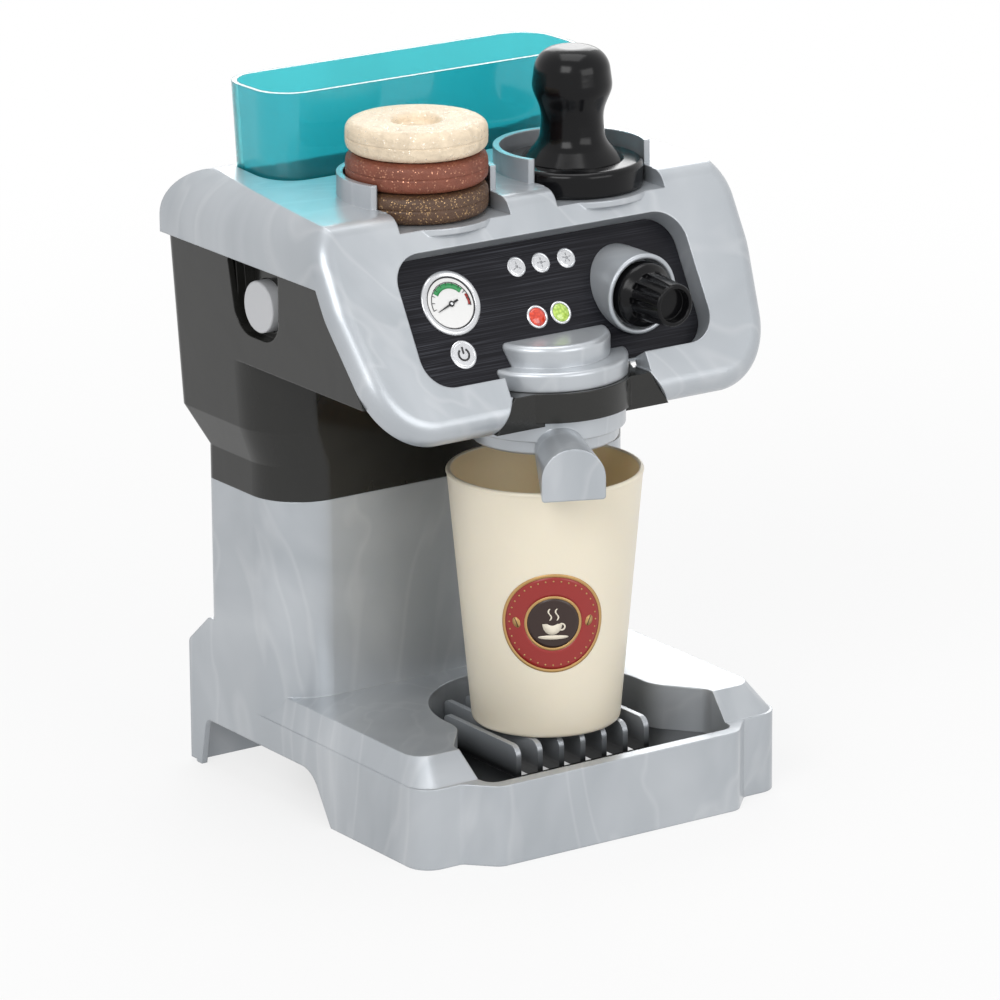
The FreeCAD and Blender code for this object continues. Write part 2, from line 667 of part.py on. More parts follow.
def make_top_cover():
    """Silver roof and fascia: bezel, sunk seat for the panel, wells for pads and tamper."""
    body = new_body("top_cover")
    ridge_high = seat_y("roof_front", RIDGE)
    ridge_low = seat_y("bezel_bottom", RIDGE)
    profile = [
        ("skirt_rear", "seam"),
        ("skirt_rear", "roof_rear", "rear_round"),
        ("tank_front - 4", "roof_rear - 2.5", "60"),
        (ridge_high, "roof_front"),
        (ridge_low, "bezel_bottom"),
        (seat_y("bezel_bottom"), "bezel_bottom"),
        (seat_y("seam"), "seam"),
    ]
    pad(body, outline(body, "profile", "YZ", profile), "cover_half * 2", both=True)
    trim = new_sketch(body, "trim", "XZ", "0 - skirt_rear - 5")
    around = rectangle("-cover_half - 20", "cover_half + 20", "bezel_bottom - 20", "roof_rear + 20")
    add_outline(trim, around)
    front_view = [
        ("bezel_low_half", "bezel_bottom - 0.05", "26"),
        ("cover_half", "bezel_bottom + 45", "30"),
        ("cover_half", "roof_rear + 0.05", "roof_corner"),
    ]
    add_outline(trim, mirrored(front_view))
    pocket(body, trim, "skirt_rear + 5 - tray_front + 10", reverse=True)
    ridge_point = V(0, size(ridge_high), size("roof_front"))
    ridge_normal = V(0, -math.cos(math.radians(size("tilt"))), math.sin(math.radians(size("tilt"))))

    def on_ridge(edge):
        ends = [edge.valueAt(edge.FirstParameter), edge.valueAt(edge.LastParameter)]
        ends.append(edge.valueAt((edge.FirstParameter + edge.LastParameter) / 2))
        return all(abs((end - ridge_point).dot(ridge_normal)) < 0.05 for end in ends)

    soften(body, "bezel_round", on_ridge)

    cavity = mirrored(
        [
            ("cover_half - wall", "seam - 1"),
            ("cover_half - wall", "roof_front - wall", "roof_corner - wall"),
        ]
    )
    cavity_front = seat_y("roof_front", "seat_thick + 1")
    pocket(body, outline(body, "cavity", "XZ", cavity, "0 - skirt_rear + rear_round"),
           f"skirt_rear - rear_round - ({cavity_front})", reverse=True)
    rear_top = "roof_rear - rear_round"
    rear_cavity = rectangle("wall - cover_half", "cover_half - wall", "seam - 1", rear_top)
    rear_plan = outline(body, "rear_cavity", "XZ", rear_cavity, "0 - skirt_rear + wall")
    pocket(body, rear_plan, "rear_round", reverse=True)
    tub = fascia_sketch(body, "tub", "0")
    tub_half = "panel_half + wall"
    tub_edges = rectangle(f"-({tub_half})", tub_half, "0 - panel_long - 1", "3", "panel_corner")
    add_outline(tub, tub_edges)
    pad(body, tub, "seat_thick + panel_thick", reverse=True)
    recess = fascia_sketch(body, "recess", "panel_thick")
    add_outline(recess, rectangle("-panel_half", "panel_half", "-panel_long", "0", "panel_corner"))
    pocket(body, recess, "panel_sink + 10", reverse=True)

    for name, x in (("pads", "pocket_left_x"), ("tamper", "pocket_right_x")):
        well = "pad_radius + 0.8"
        pad(body, circle(body, f"{name}_well", "XY", f"{well} + wall", x, "pocket_y", "pocket_floor - wall"),
            "pocket_top - pocket_floor + wall")
        outer = f"{well} + wall + 1"
        mouth = rectangle(f"{x} - ({outer})", f"{x} + {outer}", "tray_front", "pocket_y - pocket_mouth")
        pocket(body, outline(body, f"{name}_mouth", "XY", mouth, "roof_front + 0.5"), "30", reverse=True)
        hole = circle(body, f"{name}_hole", "XY", well, x, "pocket_y", "pocket_floor")
        pocket(body, hole, "30", reverse=True)
        half = "pocket_mouth_half"
        opening = rectangle(f"{x} - {half}", f"{x} + {half}", "tray_front", "pocket_y")
        pocket(body, outline(body, f"{name}_opening", "XY", opening, "pocket_floor"), "30", reverse=True)

    sides = "tank_half + gap"
    tank_hole = rectangle(f"-({sides})", sides, "tank_front - gap", "tank_rear + gap", "tank_corner")
    pocket(body, outline(body, "tank_hole", "XY", tank_hole, "seam - 1"), "60", reverse=True)
    notch = mirrored(
        [
            ("notch_half", "bezel_bottom - 1"),
            ("notch_half", "bezel_bottom"),
            ("notch_top_half", "head_low"),
        ]
    )
    pocket(body, outline(body, "notch", "XZ", notch, "0"), "90", reverse=True)
    high = "head_low + 7"
    space = [
        (seat_y("head_low"), "head_low"),
        (seat_y(high), high),
        (f"{seat_y(high)} - 30", high),
        (f"{seat_y('head_low')} - 30", "head_low"),
    ]
    pocket(body, outline(body, "head_space", "YZ", space), "(head_lower_radius + gap) * 2", both=True)
    knob_level = "0 - sleeve_rear - 10"
    pocket(body, circle(body, "knob_hole", "XZ", "tube_radius + 0.05", "knob_x", "knob_z", knob_level),
           "70", reverse=True)
    for side, (x, y) in enumerate(COVER_SCREWS):
        boss = circle(body, f"boss_{side}", "XY", "screw_head + 3.5", x, y, "seam")
        pad(body, boss, "9")
        hole = circle(body, f"boss_hole_{side}", "XY", "screw_shank", x, y, "seam - 1")
        pocket(body, hole, "8", reverse=True)
    return body


def make_control_panel():
    """Thin black plate on the sunk seat of the fascia."""
    body = new_body("control_panel")
    plate = fascia_sketch(body, "plate", "panel_thick")
    add_outline(plate, rectangle("gap - panel_half", "panel_half - gap", "gap - panel_long", "0 - gap",
                                 "panel_corner - gap"))
    pad(body, plate, "panel_thick")
    hole = circle(body, "knob_hole", "XZ", "tube_radius + 0.1", "knob_x", "knob_z", "0")
    pocket(body, hole, "90", reverse=True)
    return body


def make_brew_head():
    """Two round tiers that stand out of the fascia over the cup."""
    body = new_body("brew_head")
    pad(body, circle(body, "lower", "XY", "head_lower_radius", "0", "cup_axis_y", "head_low"),
        "head_step - head_low")
    soften(body, "1.6", at_height(size("head_step")))
    pad(body, circle(body, "upper", "XY", "head_upper_radius", "0", "cup_axis_y", "head_step - 1"),
        "head_top - head_step + 1")
    soften(body, "2.2", at_height(size("head_top")))
    behind = fascia_sketch(body, "behind", "0")
    add_outline(behind, rectangle("-60", "60", "-120", "120"))
    pocket(body, behind, "200")
    return body


RELEASE_ANGLE = 62.0
LUG_ANGLE = 34.0


def make_group_collar():
    """Black collar in the bezel notch; a groove inside it holds the lugs of the filter holder."""
    body = new_body("group_collar", y="cup_axis_y")
    top = "head_low - 0.1"
    pad(body, circle(body, "ring", "XY", "collar_radius", level="collar_bottom"), f"{top} - collar_bottom")
    wings = mirrored([("notch_half - gap", "bezel_bottom + 0.2"), ("notch_top_half - gap", top)])
    front = f"cup_axis_y - ({seat_y('collar_bottom', '0 - 3.5')})"
    pad(body, outline(body, "wings", "XZ", wings, f"{front} - 9"), "9")
    seat = rectangle("-20", "20", "-3", "24")
    pad(body, outline(body, "seat", "XY", seat, f"{top} - 0.5"), f"head_bottom - ({top}) + 0.5")
    bore = "filter_radius + gap"
    pocket(body, circle(body, "bore", "XY", bore, level="bezel_bottom - 3"),
           "filter_top + 1 - bezel_bottom + 3", reverse=True)
    groove = [
        (f"{bore} - 1", "lug_bottom - gap"),
        (f"{bore} + lug_rise", "lug_bottom - gap"),
        (f"{bore} + lug_rise", "lug_bottom + lug_thick + gap"),
        (f"{bore} - 1", "lug_bottom + lug_thick + gap"),
    ]
    turn(body, outline(body, "groove", "XZ", groove), cut=True)
    entry = [
        (f"{bore} - 1", "bezel_bottom - 3"),
        (f"{bore} + lug_rise", "bezel_bottom - 3"),
        (f"{bore} + lug_rise", "lug_bottom"),
        (f"{bore} - 1", "lug_bottom"),
    ]
    for name, angle in (("a", RELEASE_ANGLE), ("b", RELEASE_ANGLE + 180)):
        sketch = outline(body, f"entry_{name}", "XZ", entry)
        sketch.AttachmentOffset = Placement(V(), Rotation(V(0, 1, 0), -angle))
        turn(body, sketch, cut=True, angle=LUG_ANGLE + 8, both=True)
    nozzle_hole = circle(body, "nozzle_hole", "XY", "nozzle_radius + 0.1", level="filter_top")
    pocket(body, nozzle_hole, "20", reverse=True)
    return body


def make_outlet_nozzle():
    """Water outlet over the filter holder; its flange lies on the floor of the head."""
    body = new_body("outlet_nozzle", y="cup_axis_y")
    floor = "head_bottom + wall"
    profile = [
        ("nozzle_bore", "filter_top - 1"),
        ("nozzle_radius", "filter_top - 1", "1"),
        ("nozzle_radius", floor),
        ("nozzle_radius + 1.5", floor),
        ("nozzle_radius + 1.5", f"{floor} + 2"),
        ("nozzle_radius - 0.5", f"{floor} + 2"),
        ("nozzle_radius - 0.5", f"{floor} + 4"),
        ("nozzle_bore", f"{floor} + 4"),
    ]
    turn(body, outline(body, "profile", "XZ", profile))
    return body


TUBE_LEVEL = "shelf_top - 6"
TUBE_BEND = "8"


def make_water_tube():
    """Tube from the valve block forward to the outlet, with one bend."""
    body = new_body("water_tube", y=f"cup_axis_y + {TUBE_BEND}", z=f"{TUBE_LEVEL} - {TUBE_BEND}")
    outer = "nozzle_bore"
    inner = "nozzle_bore - 1.2"

    def ring(name, plane, x, y):
        sketch = circle(body, name, plane, outer, x, y)
        add_circle(sketch, inner, x, y)
        return sketch

    reach = f"tank_y - spigot_radius - 4 - cup_axis_y - {TUBE_BEND}"
    pad(body, ring("run", "XZ", "0", TUBE_BEND), reach, reverse=True)
    turn(body, ring("bend", "XZ", "0", TUBE_BEND), angle=90.0, axis="H_Axis")
    drop = f"{TUBE_LEVEL} - {TUBE_BEND} - (head_bottom + wall + 4)"
    pad(body, ring("drop", "XY", "0", f"0 - {TUBE_BEND}"), drop, reverse=True)
    return body


def make_valve_block():
    """Cup under the shelf that takes the tank outlet and feeds the tube."""
    body = new_body("valve_block", y="tank_y")
    top = "shelf_top - wall"
    bottom = "shelf_top - wall - 11"
    pad(body, circle(body, "block", "XY", "spigot_radius + 4", level=bottom), f"{top} - ({bottom})")
    socket = circle(body, "socket", "XY", "spigot_radius + gap * 2", level=f"{bottom} + 2.5")
    pocket(body, socket, "12", reverse=True)
    port = circle(body, "port", "XZ", "nozzle_bore - 1.2", "0", TUBE_LEVEL)
    pocket(body, port, "spigot_radius + 6", reverse=True)
    return body


def make_water_tank():
    """Open translucent tank with drafted walls and an outlet in its floor."""
    body = new_body("water_tank")
    bottom = "shelf_top + rest_gap"

    def plan(name, level, inset):
        edges = rectangle(f"{inset} - tank_half", f"tank_half - ({inset})", f"tank_front + {inset}",
                          f"tank_rear - ({inset})", f"tank_corner - ({inset}) / 2")
        return outline(body, name, "XY", edges, level)

    loft(body, [plan("outer_low", bottom, "tank_draft"), plan("outer_high", "tank_rim", "0")])
    loft(body, [
        plan("inner_low", f"{bottom} + tank_wall", "tank_draft + tank_wall"),
        plan("inner_high", "tank_rim + 1", "tank_wall"),
    ], cut=True)
    soften(body, "2.5", at_height(size(bottom)))
    spigot = circle(body, "spigot", "XY", "spigot_radius", "0", "tank_y", f"{bottom} - spigot_long + 2")
    pad(body, spigot, "spigot_long - 1")
    bore = circle(body, "bore", "XY", "spigot_bore", "0", "tank_y", f"{bottom} - spigot_long")
    pocket(body, bore, "spigot_long + 6", reverse=True)
    return body


def make_knob_collar():
    """Silver tube through the panel with the sleeve of the knob shaft."""
    body = new_body("knob_collar", x="knob_x", z="knob_z", rotation=FORWARD)
    web = "0 - web_front"
    back = "0 - sleeve_rear"
    profile = [
        ("shaft_radius + shaft_fit", back),
        ("sleeve_radius", back),
        ("sleeve_radius", f"{web} - web_thick"),
        ("tube_bore", f"{web} - web_thick"),
        ("tube_bore", back),
        ("tube_radius", back),
        ("tube_radius", "0 - tube_front", "0.9"),
        ("tube_bore", "0 - tube_front", "0.9"),
        ("tube_bore", web),
        ("shaft_radius + shaft_fit", web),
    ]
    turn(body, outline(body, "profile", "XZ", profile))
    return body


def make_rotary_knob():
    """Black knob with a fluted grip and its shaft."""
    body = new_body("rotary_knob", x="knob_x", z="knob_z", rotation=FORWARD)
    end = "0 - wheel_front - wheel_thick"
    base = "0 - knob_base"
    tip = "0 - knob_tip"
    profile = [
        ("screw_shank", end),
        ("shaft_radius", end),
        ("shaft_radius", base),
        ("knob_radius", base, "1"),
        ("knob_radius", f"{base} + 5", "2.5"),
        ("grip_radius", f"{base} + 8", "1.5"),
        ("grip_end", tip, "0.8"),
        ("tip_recess", tip, "0.4"),
        ("tip_recess", f"{tip} - 4"),
        ("0", f"{tip} - 4"),
        ("0", f"{end} + 8"),
        ("screw_shank", f"{end} + 8"),
    ]
    turn(body, outline(body, "profile", "XZ", profile))
    flute = circle(body, "flute", "XY", "flute_radius", "grip_radius", "0", f"{base} + 7.5")
    pattern(body, pocket(body, flute, "30", reverse=True), "flute_count")
    return body


def make_click_wheel():
    """Notched wheel pressed on the rear end of the shaft."""
    body = new_body("click_wheel", x="knob_x", z="knob_z", rotation=FORWARD)
    front = "0 - wheel_front"
    disc = circle(body, "disc", "XY", "wheel_radius", level=f"{front} - wheel_thick")
    add_circle(disc, "shaft_radius")
    pad(body, disc, "wheel_thick")
    notch = circle(body, "notch", "XY", "1.1", "wheel_radius", "0", f"{front} - wheel_thick - 1")
    pattern(body, pocket(body, notch, "wheel_thick + 2", reverse=True), "wheel_teeth")
    return body


def make_knob_screw():
    """Screw that keeps the click wheel on the shaft."""
    body = new_body("knob_screw", x="knob_x", z="knob_z", rotation=FORWARD)
    end = "0 - wheel_front - wheel_thick"
    profile = [
        ("0", f"{end} - 2.4"),
        ("screw_head + 1.5", f"{end} - 2.4", "0.6"),
        ("screw_head + 1.5", end),
        ("screw_shank - 0.05", end),
        ("screw_shank - 0.05", f"{end} + 7.5"),
        ("0", f"{end} + 7.5"),
    ]
    turn(body, outline(body, "profile", "XZ", profile))
    cross = outline(body, "slot", "XY", rectangle("-3.4", "3.4", "-0.5", "0.5"), f"{end} - 3")
    pocket(body, cross, "1.6", reverse=True)
    return body


def make_click_spring():
    """Leaf that snaps into the notches of the click wheel."""
    body = new_body("click_spring", x="knob_x", y="wheel_front")
    floor = "head_bottom + wall"
    tip = "knob_z - wheel_radius - gap"
    leaf = [
        ("7", floor),
        ("7", f"{floor} + 0.8"),
        ("0.9", f"{floor} + 0.8", "0.5"),
        ("0.4", tip, "0.3"),
        ("-0.4", tip, "0.3"),
        ("-0.9", f"{floor} + 0.8", "0.5"),
        ("-7", f"{floor} + 0.8"),
        ("-7", floor),
    ]
    pad(body, outline(body, "leaf", "XZ", leaf), "wheel_thick", reverse=True)
    return body


def make_filter_holder():
    """Ring with lugs and the handle of the filter holder, in the photographed position."""
    body = new_body("filter_holder", y="cup_axis_y", rotation=Rotation(V(0, 0, 1), -size("handle_angle")))
    inner = "filter_radius - filter_wall"
    cup = [
        ("4", "filter_step"),
        ("filter_radius", "filter_step", "0.6"),
        ("filter_radius", "filter_top", "0.6"),
        (inner, "filter_top", "0.6"),
        (inner, "filter_step + 2", "1"),
        ("4", "filter_step + 2"),
    ]
    turn(body, outline(body, "cup", "XZ", cup))
    lug = [
        ("filter_radius - 1", "lug_bottom"),
        ("filter_radius + lug_rise", "lug_bottom"),
        ("filter_radius + lug_rise", "lug_bottom + lug_thick"),
        ("filter_radius - 1", "lug_bottom + lug_thick"),
    ]
    for name, angle in (("a", 0), ("b", 180)):
        sketch = outline(body, f"lug_{name}", "XZ", lug)
        sketch.AttachmentOffset = Placement(V(), Rotation(V(0, 1, 0), angle))
        turn(body, sketch, angle=LUG_ANGLE, both=True)

    def d_section(name, half, low, high, reach):
        corners = mirrored([(half, low, "1.2"), (half, high, f"{half} - 0.6")])
        return outline(body, name, "XZ", corners, reach)

    loft(body, [
        d_section("handle_root", "handle_root_half", "handle_root_low", "handle_root_high",
                  "filter_low_radius + gap"),
        d_section("handle_end", "handle_end_half", "handle_end_low", "handle_end_high", "handle_reach"),
    ])
    return body


def make_filter_base():
    """Lower ring under the filter holder with its spout hole."""
    body = new_body("filter_base", y="cup_axis_y")
    profile = [
        ("4", "filter_bottom"),
        ("filter_low_radius", "filter_bottom", "1.5"),
        ("filter_low_radius", "filter_step"),
        ("filter_low_radius - filter_wall", "filter_step"),
        ("filter_low_radius - filter_wall", "filter_bottom + 2"),
        ("4", "filter_bottom + 2"),
    ]
    turn(body, outline(body, "profile", "XZ", profile))
    return body


def make_cup():
    """Tapered drinking cup, open at the top."""
    body = new_body("cup", y="cup_axis_y", z="fin_top + rest_gap")
    profile = [
        ("0", "1.2"),
        ("cup_low_radius - 3", "1.2"),
        ("cup_low_radius - 2.6", "0", "0.4"),
        ("cup_low_radius", "0", "1.2"),
        ("cup_rim_radius", "cup_high", "0.6"),
        ("cup_rim_radius - cup_wall", "cup_high", "0.6"),
        ("cup_low_radius - cup_wall + 0.3", "1.2 + cup_wall", "2"),
        ("0", "1.2 + cup_wall"),
    ]
    turn(body, outline(body, "profile", "XZ", profile))
    return body


def make_pad(label, place):
    """A round coffee pad with a dimple; place counts from the bottom of the stack."""
    level = f"pocket_floor + rest_gap + {place} * (pad_thick + rest_gap)"
    body = new_body(label, x="pocket_left_x", y="pocket_y", z=level)
    profile = [
        ("0", "0"),
        ("pad_radius", "0", "2.5"),
        ("pad_radius", "pad_thick", "3.2"),
        ("pad_dimple", "pad_thick", "1.2"),
        ("pad_dimple - 1.5", "pad_thick - pad_dimple_deep", "1"),
        ("0", "pad_thick - pad_dimple_deep"),
    ]
    turn(body, outline(body, "profile", "XZ", profile))
    return body


TAMPER_BASE = "pocket_floor + rest_gap"


def make_tamper_disc():
    """Flat disc of the tamper."""
    body = new_body("tamper_disc", x="pocket_right_x", y="pocket_y", z=TAMPER_BASE)
    profile = [
        ("0", "0"),
        ("tamper_radius", "0", "1"),
        ("tamper_radius", "tamper_disc", "2.2"),
        ("0", "tamper_disc"),
    ]
    turn(body, outline(body, "profile", "XZ", profile))
    return body


def make_tamper_handle():
    """Handle of the tamper: flared foot, waist and round bulb."""
    body = new_body("tamper_handle", x="pocket_right_x", y="pocket_y")
    foot = f"{TAMPER_BASE} + tamper_disc"
    profile = [
        ("0", foot),
        ("tamper_foot", foot),
        ("waist_radius + 1", f"{foot} + 7", "9"),
        ("waist_radius", "tamper_top - 24", "16"),
        ("bulb_radius + 1", "tamper_top - 15", "9"),
        ("bulb_radius - 1", "tamper_top", "9"),
        ("0", "tamper_top"),
    ]
    turn(body, outline(body, "profile", "XZ", profile))
    return body


def scoop_floor():
    """How far the floor of the finger recess lies from the middle plane."""
    return f"({skirt_half_at('button_z')} - scoop_deep)"


def make_side_button():
    """Round button with a flange inside the wall and a guide stem."""
    body = new_body("side_button", y="button_y", z="button_z", rotation=TO_THE_LEFT)
    flange = f"{scoop_floor()} - wall - gap"
    profile = [
        ("0", "0 - cage_end - 2"),
        ("screw_head", "0 - cage_end - 2", "0.5"),
        ("screw_head", f"{flange} - 2"),
        ("button_radius + 2", f"{flange} - 2"),
        ("button_radius + 2", flange),
        ("button_radius", flange),
        ("button_radius", f"{scoop_floor()} + button_proud", "0.8"),
        ("0", f"{scoop_floor()} + button_proud"),
    ]
    turn(body, outline(body, "profile", "XZ", profile))
    return body


def make_button_spring():
    """Coil between the cage and the flange of the button."""
    low = "0 - cage_end + wall + spring_wire"
    body = new_body("button_spring", y="button_y", z="button_z", rotation=TO_THE_LEFT)
    height = f"({scoop_floor()} - wall - gap - 2) - (0 - cage_end + wall) - 2 * spring_wire - 0.4"
    wire = circle(body, "wire", "XZ", "spring_wire", "spring_radius", f"{low} + 0.2")
    coil = body.newObject("PartDesign::AdditiveHelix", "button_spring_coil")
    coil.Profile = wire
    coil.ReferenceAxis = (wire, ["V_Axis"])
    coil.Mode = 2
    coil.setExpression("Height", bound(height))
    coil.setExpression("Turns", bound("spring_turns"))
    doc.recompute()
    return body


def make_screws(label, places, head_level, rise):
    """Equal screws; head_level is the seat of the heads, rise the reach of the shanks, up or down."""
    body = new_body(label)
    upward = size(rise) > 0
    for number, (x, y) in enumerate(places):
        head = circle(body, f"head_{number}", "XY", "screw_head", x, y, head_level)
        pad(body, head, "1.8", reverse=upward)
        shank = circle(body, f"shank_{number}", "XY", "screw_shank - 0.05", x, y, head_level)
        pad(body, shank, f"sqrt(({rise}) * ({rise}))", reverse=not upward)
    return body


def make_base_screws():
    """Screws down through the floor of the housing into the column."""
    return make_screws("base_screws", BASE_SCREWS, "column_top + wall", "0 - 14")


def make_cover_screws():
    """Screws up through the housing bosses into the top cover."""
    return make_screws("cover_screws", COVER_SCREWS, "seam - 14", "20")


BUILDERS = [
    make_base_housing,
    make_drip_grille,
    make_body_housing,
    make_top_cover,
    make_control_panel,
    make_brew_head,
    make_group_collar,
    make_outlet_nozzle,
    make_water_tube,
    make_valve_block,
    make_water_tank,
    make_knob_collar,
    make_rotary_knob,
    make_click_wheel,
    make_knob_screw,
    make_click_spring,
    make_filter_holder,
    make_filter_base,
    make_cup,
    lambda: make_pad("pad_brown", 0),
    lambda: make_pad("pad_red", 1),
    lambda: make_pad("pad_cream", 2),
    make_tamper_disc,
    make_tamper_handle,
    make_side_button,
    make_button_spring,
    make_base_screws,
    make_cover_screws,
]


def check_and_export(bodies):
    """Nothing is written unless every object and every shape is sound."""
    doc.recompute()
    for item in doc.Objects:
        if "Invalid" in item.State or "Error" in item.State:
            raise RuntimeError(f"{item.Label}: {item.State}")
    for body in bodies:
        if body.Shape.isNull() or not body.Shape.isValid() or body.Shape.Volume <= 0:
            raise RuntimeError(f"{body.Label} has no valid shape")
    os.makedirs("parts", exist_ok=True)
    for body in bodies:
        body.Shape.exportStep(f"parts/{body.Label}.step")
        print(body.Label, len(body.Shape.Solids), round(body.Shape.Volume))


check_and_export([make() for make in BUILDERS])
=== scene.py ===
"""Toy coffee maker: materials, printed details, cup and pads, light and camera. Metres, front towards -Y."""

import math

import bmesh
import bpy
from mathutils import Matrix, Vector, noise


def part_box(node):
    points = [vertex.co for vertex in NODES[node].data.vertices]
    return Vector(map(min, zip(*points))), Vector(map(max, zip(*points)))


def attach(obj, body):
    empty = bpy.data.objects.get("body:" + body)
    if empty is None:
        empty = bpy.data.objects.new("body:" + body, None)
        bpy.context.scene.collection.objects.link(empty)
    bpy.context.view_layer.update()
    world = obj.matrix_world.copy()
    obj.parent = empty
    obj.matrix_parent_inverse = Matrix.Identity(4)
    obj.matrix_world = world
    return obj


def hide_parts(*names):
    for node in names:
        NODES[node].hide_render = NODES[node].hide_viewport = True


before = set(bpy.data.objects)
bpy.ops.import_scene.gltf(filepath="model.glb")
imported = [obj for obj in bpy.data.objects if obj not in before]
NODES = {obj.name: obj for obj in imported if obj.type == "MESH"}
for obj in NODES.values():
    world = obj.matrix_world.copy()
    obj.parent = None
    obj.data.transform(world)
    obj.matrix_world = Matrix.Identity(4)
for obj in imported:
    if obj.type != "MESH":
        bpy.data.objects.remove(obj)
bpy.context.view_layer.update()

# Camera of the photograph: place, viewing direction, roll and lens
CAMERA_PLACE = Vector((-1.29318, -1.89915, 0.79824))
CAMERA_FORWARD = Vector((0.5398, 0.7912, -0.2874)).normalized()
CAMERA_ROLL = math.radians(-0.4)
CAMERA_LENS = 234.0
SENSOR = 36.0

# The sloping panel: its downward direction and its outward normal
TILT = math.radians(29.6)
DOWN = Vector((0, -math.sin(TILT), -math.cos(TILT)))
OUT = Vector((0, -math.cos(TILT), math.sin(TILT)))
ACROSS = Vector((1, 0, 0))

# The cup: axis, heights and outer radii
CUP_AXIS = Vector((0, -0.0328, 0))
CUP_FOOT = 0.0342
CUP_RIM = 0.1298
CUP_FOOT_RADIUS = 0.0273
CUP_RIM_RADIUS = 0.0360
CUP_WALL = 0.0015
CUP_FLOOR = 0.004
BADGE_ANGLE = math.radians(-29.6)
BADGE_HEIGHT = 0.0796

# Rings of the badge, from the outside inwards
BADGE_R = 0.0192
BADGE_BAND_R = 0.0180
BADGE_DOTS_R = 0.0164
BADGE_BEANS_R = 0.0136
BADGE_INNER_R = 0.0106
BADGE_CENTRE_R = 0.0096

# Prints on the panel: places across it and down its slope
GAUGE_X, GAUGE_S, GAUGE_R = -0.0388, 0.0181, 0.0123
GAUGE_DIAL_S = GAUGE_S + 0.0004
BUTTON_PLACES = (-0.0071, 0.0036, 0.0148)
BUTTON_S = 0.0093
LAMP_S = 0.0288
POWER_X, POWER_S = -0.0398, 0.0375
PRINT_THICK = 0.00012

# Pads: depth and radius of the dimple, and how coarse their sides are
DIMPLE_DEEP = 0.0036
DIMPLE_R = 0.0076
PAD_NOISE = 420


# Materials

def new_material(name):
    made = bpy.data.materials.new(name)
    made.use_nodes = True
    return made, made.node_tree, made.node_tree.nodes["Principled BSDF"]


def add_node(tree, kind, **values):
    node = tree.nodes.new(kind)
    for key, value in values.items():
        if hasattr(node, key):
            setattr(node, key, value)
        else:
            node.inputs[key.replace("_", " ").title()].default_value = value
    return node


def place_of(tree, stretch=(1, 1, 1)):
    """Coordinates on the object, stretched, for a pattern."""
    coordinates = tree.nodes.new("ShaderNodeTexCoord")
    mapping = tree.nodes.new("ShaderNodeMapping")
    mapping.inputs["Scale"].default_value = stretch
    tree.links.new(coordinates.outputs["Object"], mapping.inputs["Vector"])
    return mapping.outputs["Vector"]


def noise_of(tree, scale, detail=3, distortion=0.0, stretch=(1, 1, 1)):
    node = add_node(tree, "ShaderNodeTexNoise", scale=scale, detail=detail, distortion=distortion)
    tree.links.new(place_of(tree, stretch), node.inputs["Vector"])
    return node.outputs["Fac"]


def ramp_of(tree, value, stops):
    node = tree.nodes.new("ShaderNodeValToRGB")
    elements = node.color_ramp.elements
    while len(elements) < len(stops):
        elements.new(0.5)
    for element, (at, color) in zip(elements, stops):
        element.position = at
        element.color = (*color, 1)
    tree.links.new(value, node.inputs["Fac"])
    return node.outputs["Color"]


def mixed(tree, factor, first, second, blend="MIX"):
    node = tree.nodes.new("ShaderNodeMix")
    node.data_type = "RGBA"
    node.blend_type = blend
    for socket, value in ((node.inputs[0], factor), (node.inputs[6], first), (node.inputs[7], second)):
        if isinstance(value, bpy.types.NodeSocket):
            tree.links.new(value, socket)
        elif isinstance(value, tuple):
            socket.default_value = (*value, 1)
        else:
            socket.default_value = value
    return node.outputs[2]


def bumped(tree, shader, height, strength, distance, edge=0.0):
    """Fine relief, over edges that are rounded by the given radius."""
    bump = add_node(tree, "ShaderNodeBump")
    bump.inputs["Strength"].default_value = strength
    bump.inputs["Distance"].default_value = distance
    tree.links.new(height, bump.inputs["Height"])
    if edge:
        bevel = tree.nodes.new("ShaderNodeBevel")
        bevel.samples = 6
        bevel.inputs["Radius"].default_value = edge
        tree.links.new(bevel.outputs["Normal"], bump.inputs["Normal"])
    tree.links.new(bump.outputs["Normal"], shader.inputs["Normal"])


def spread(tree, value, low, high):
    node = tree.nodes.new("ShaderNodeMapRange")
    node.inputs["To Min"].default_value = low
    node.inputs["To Max"].default_value = high
    tree.links.new(value, node.inputs["Value"])
    return node.outputs["Result"]


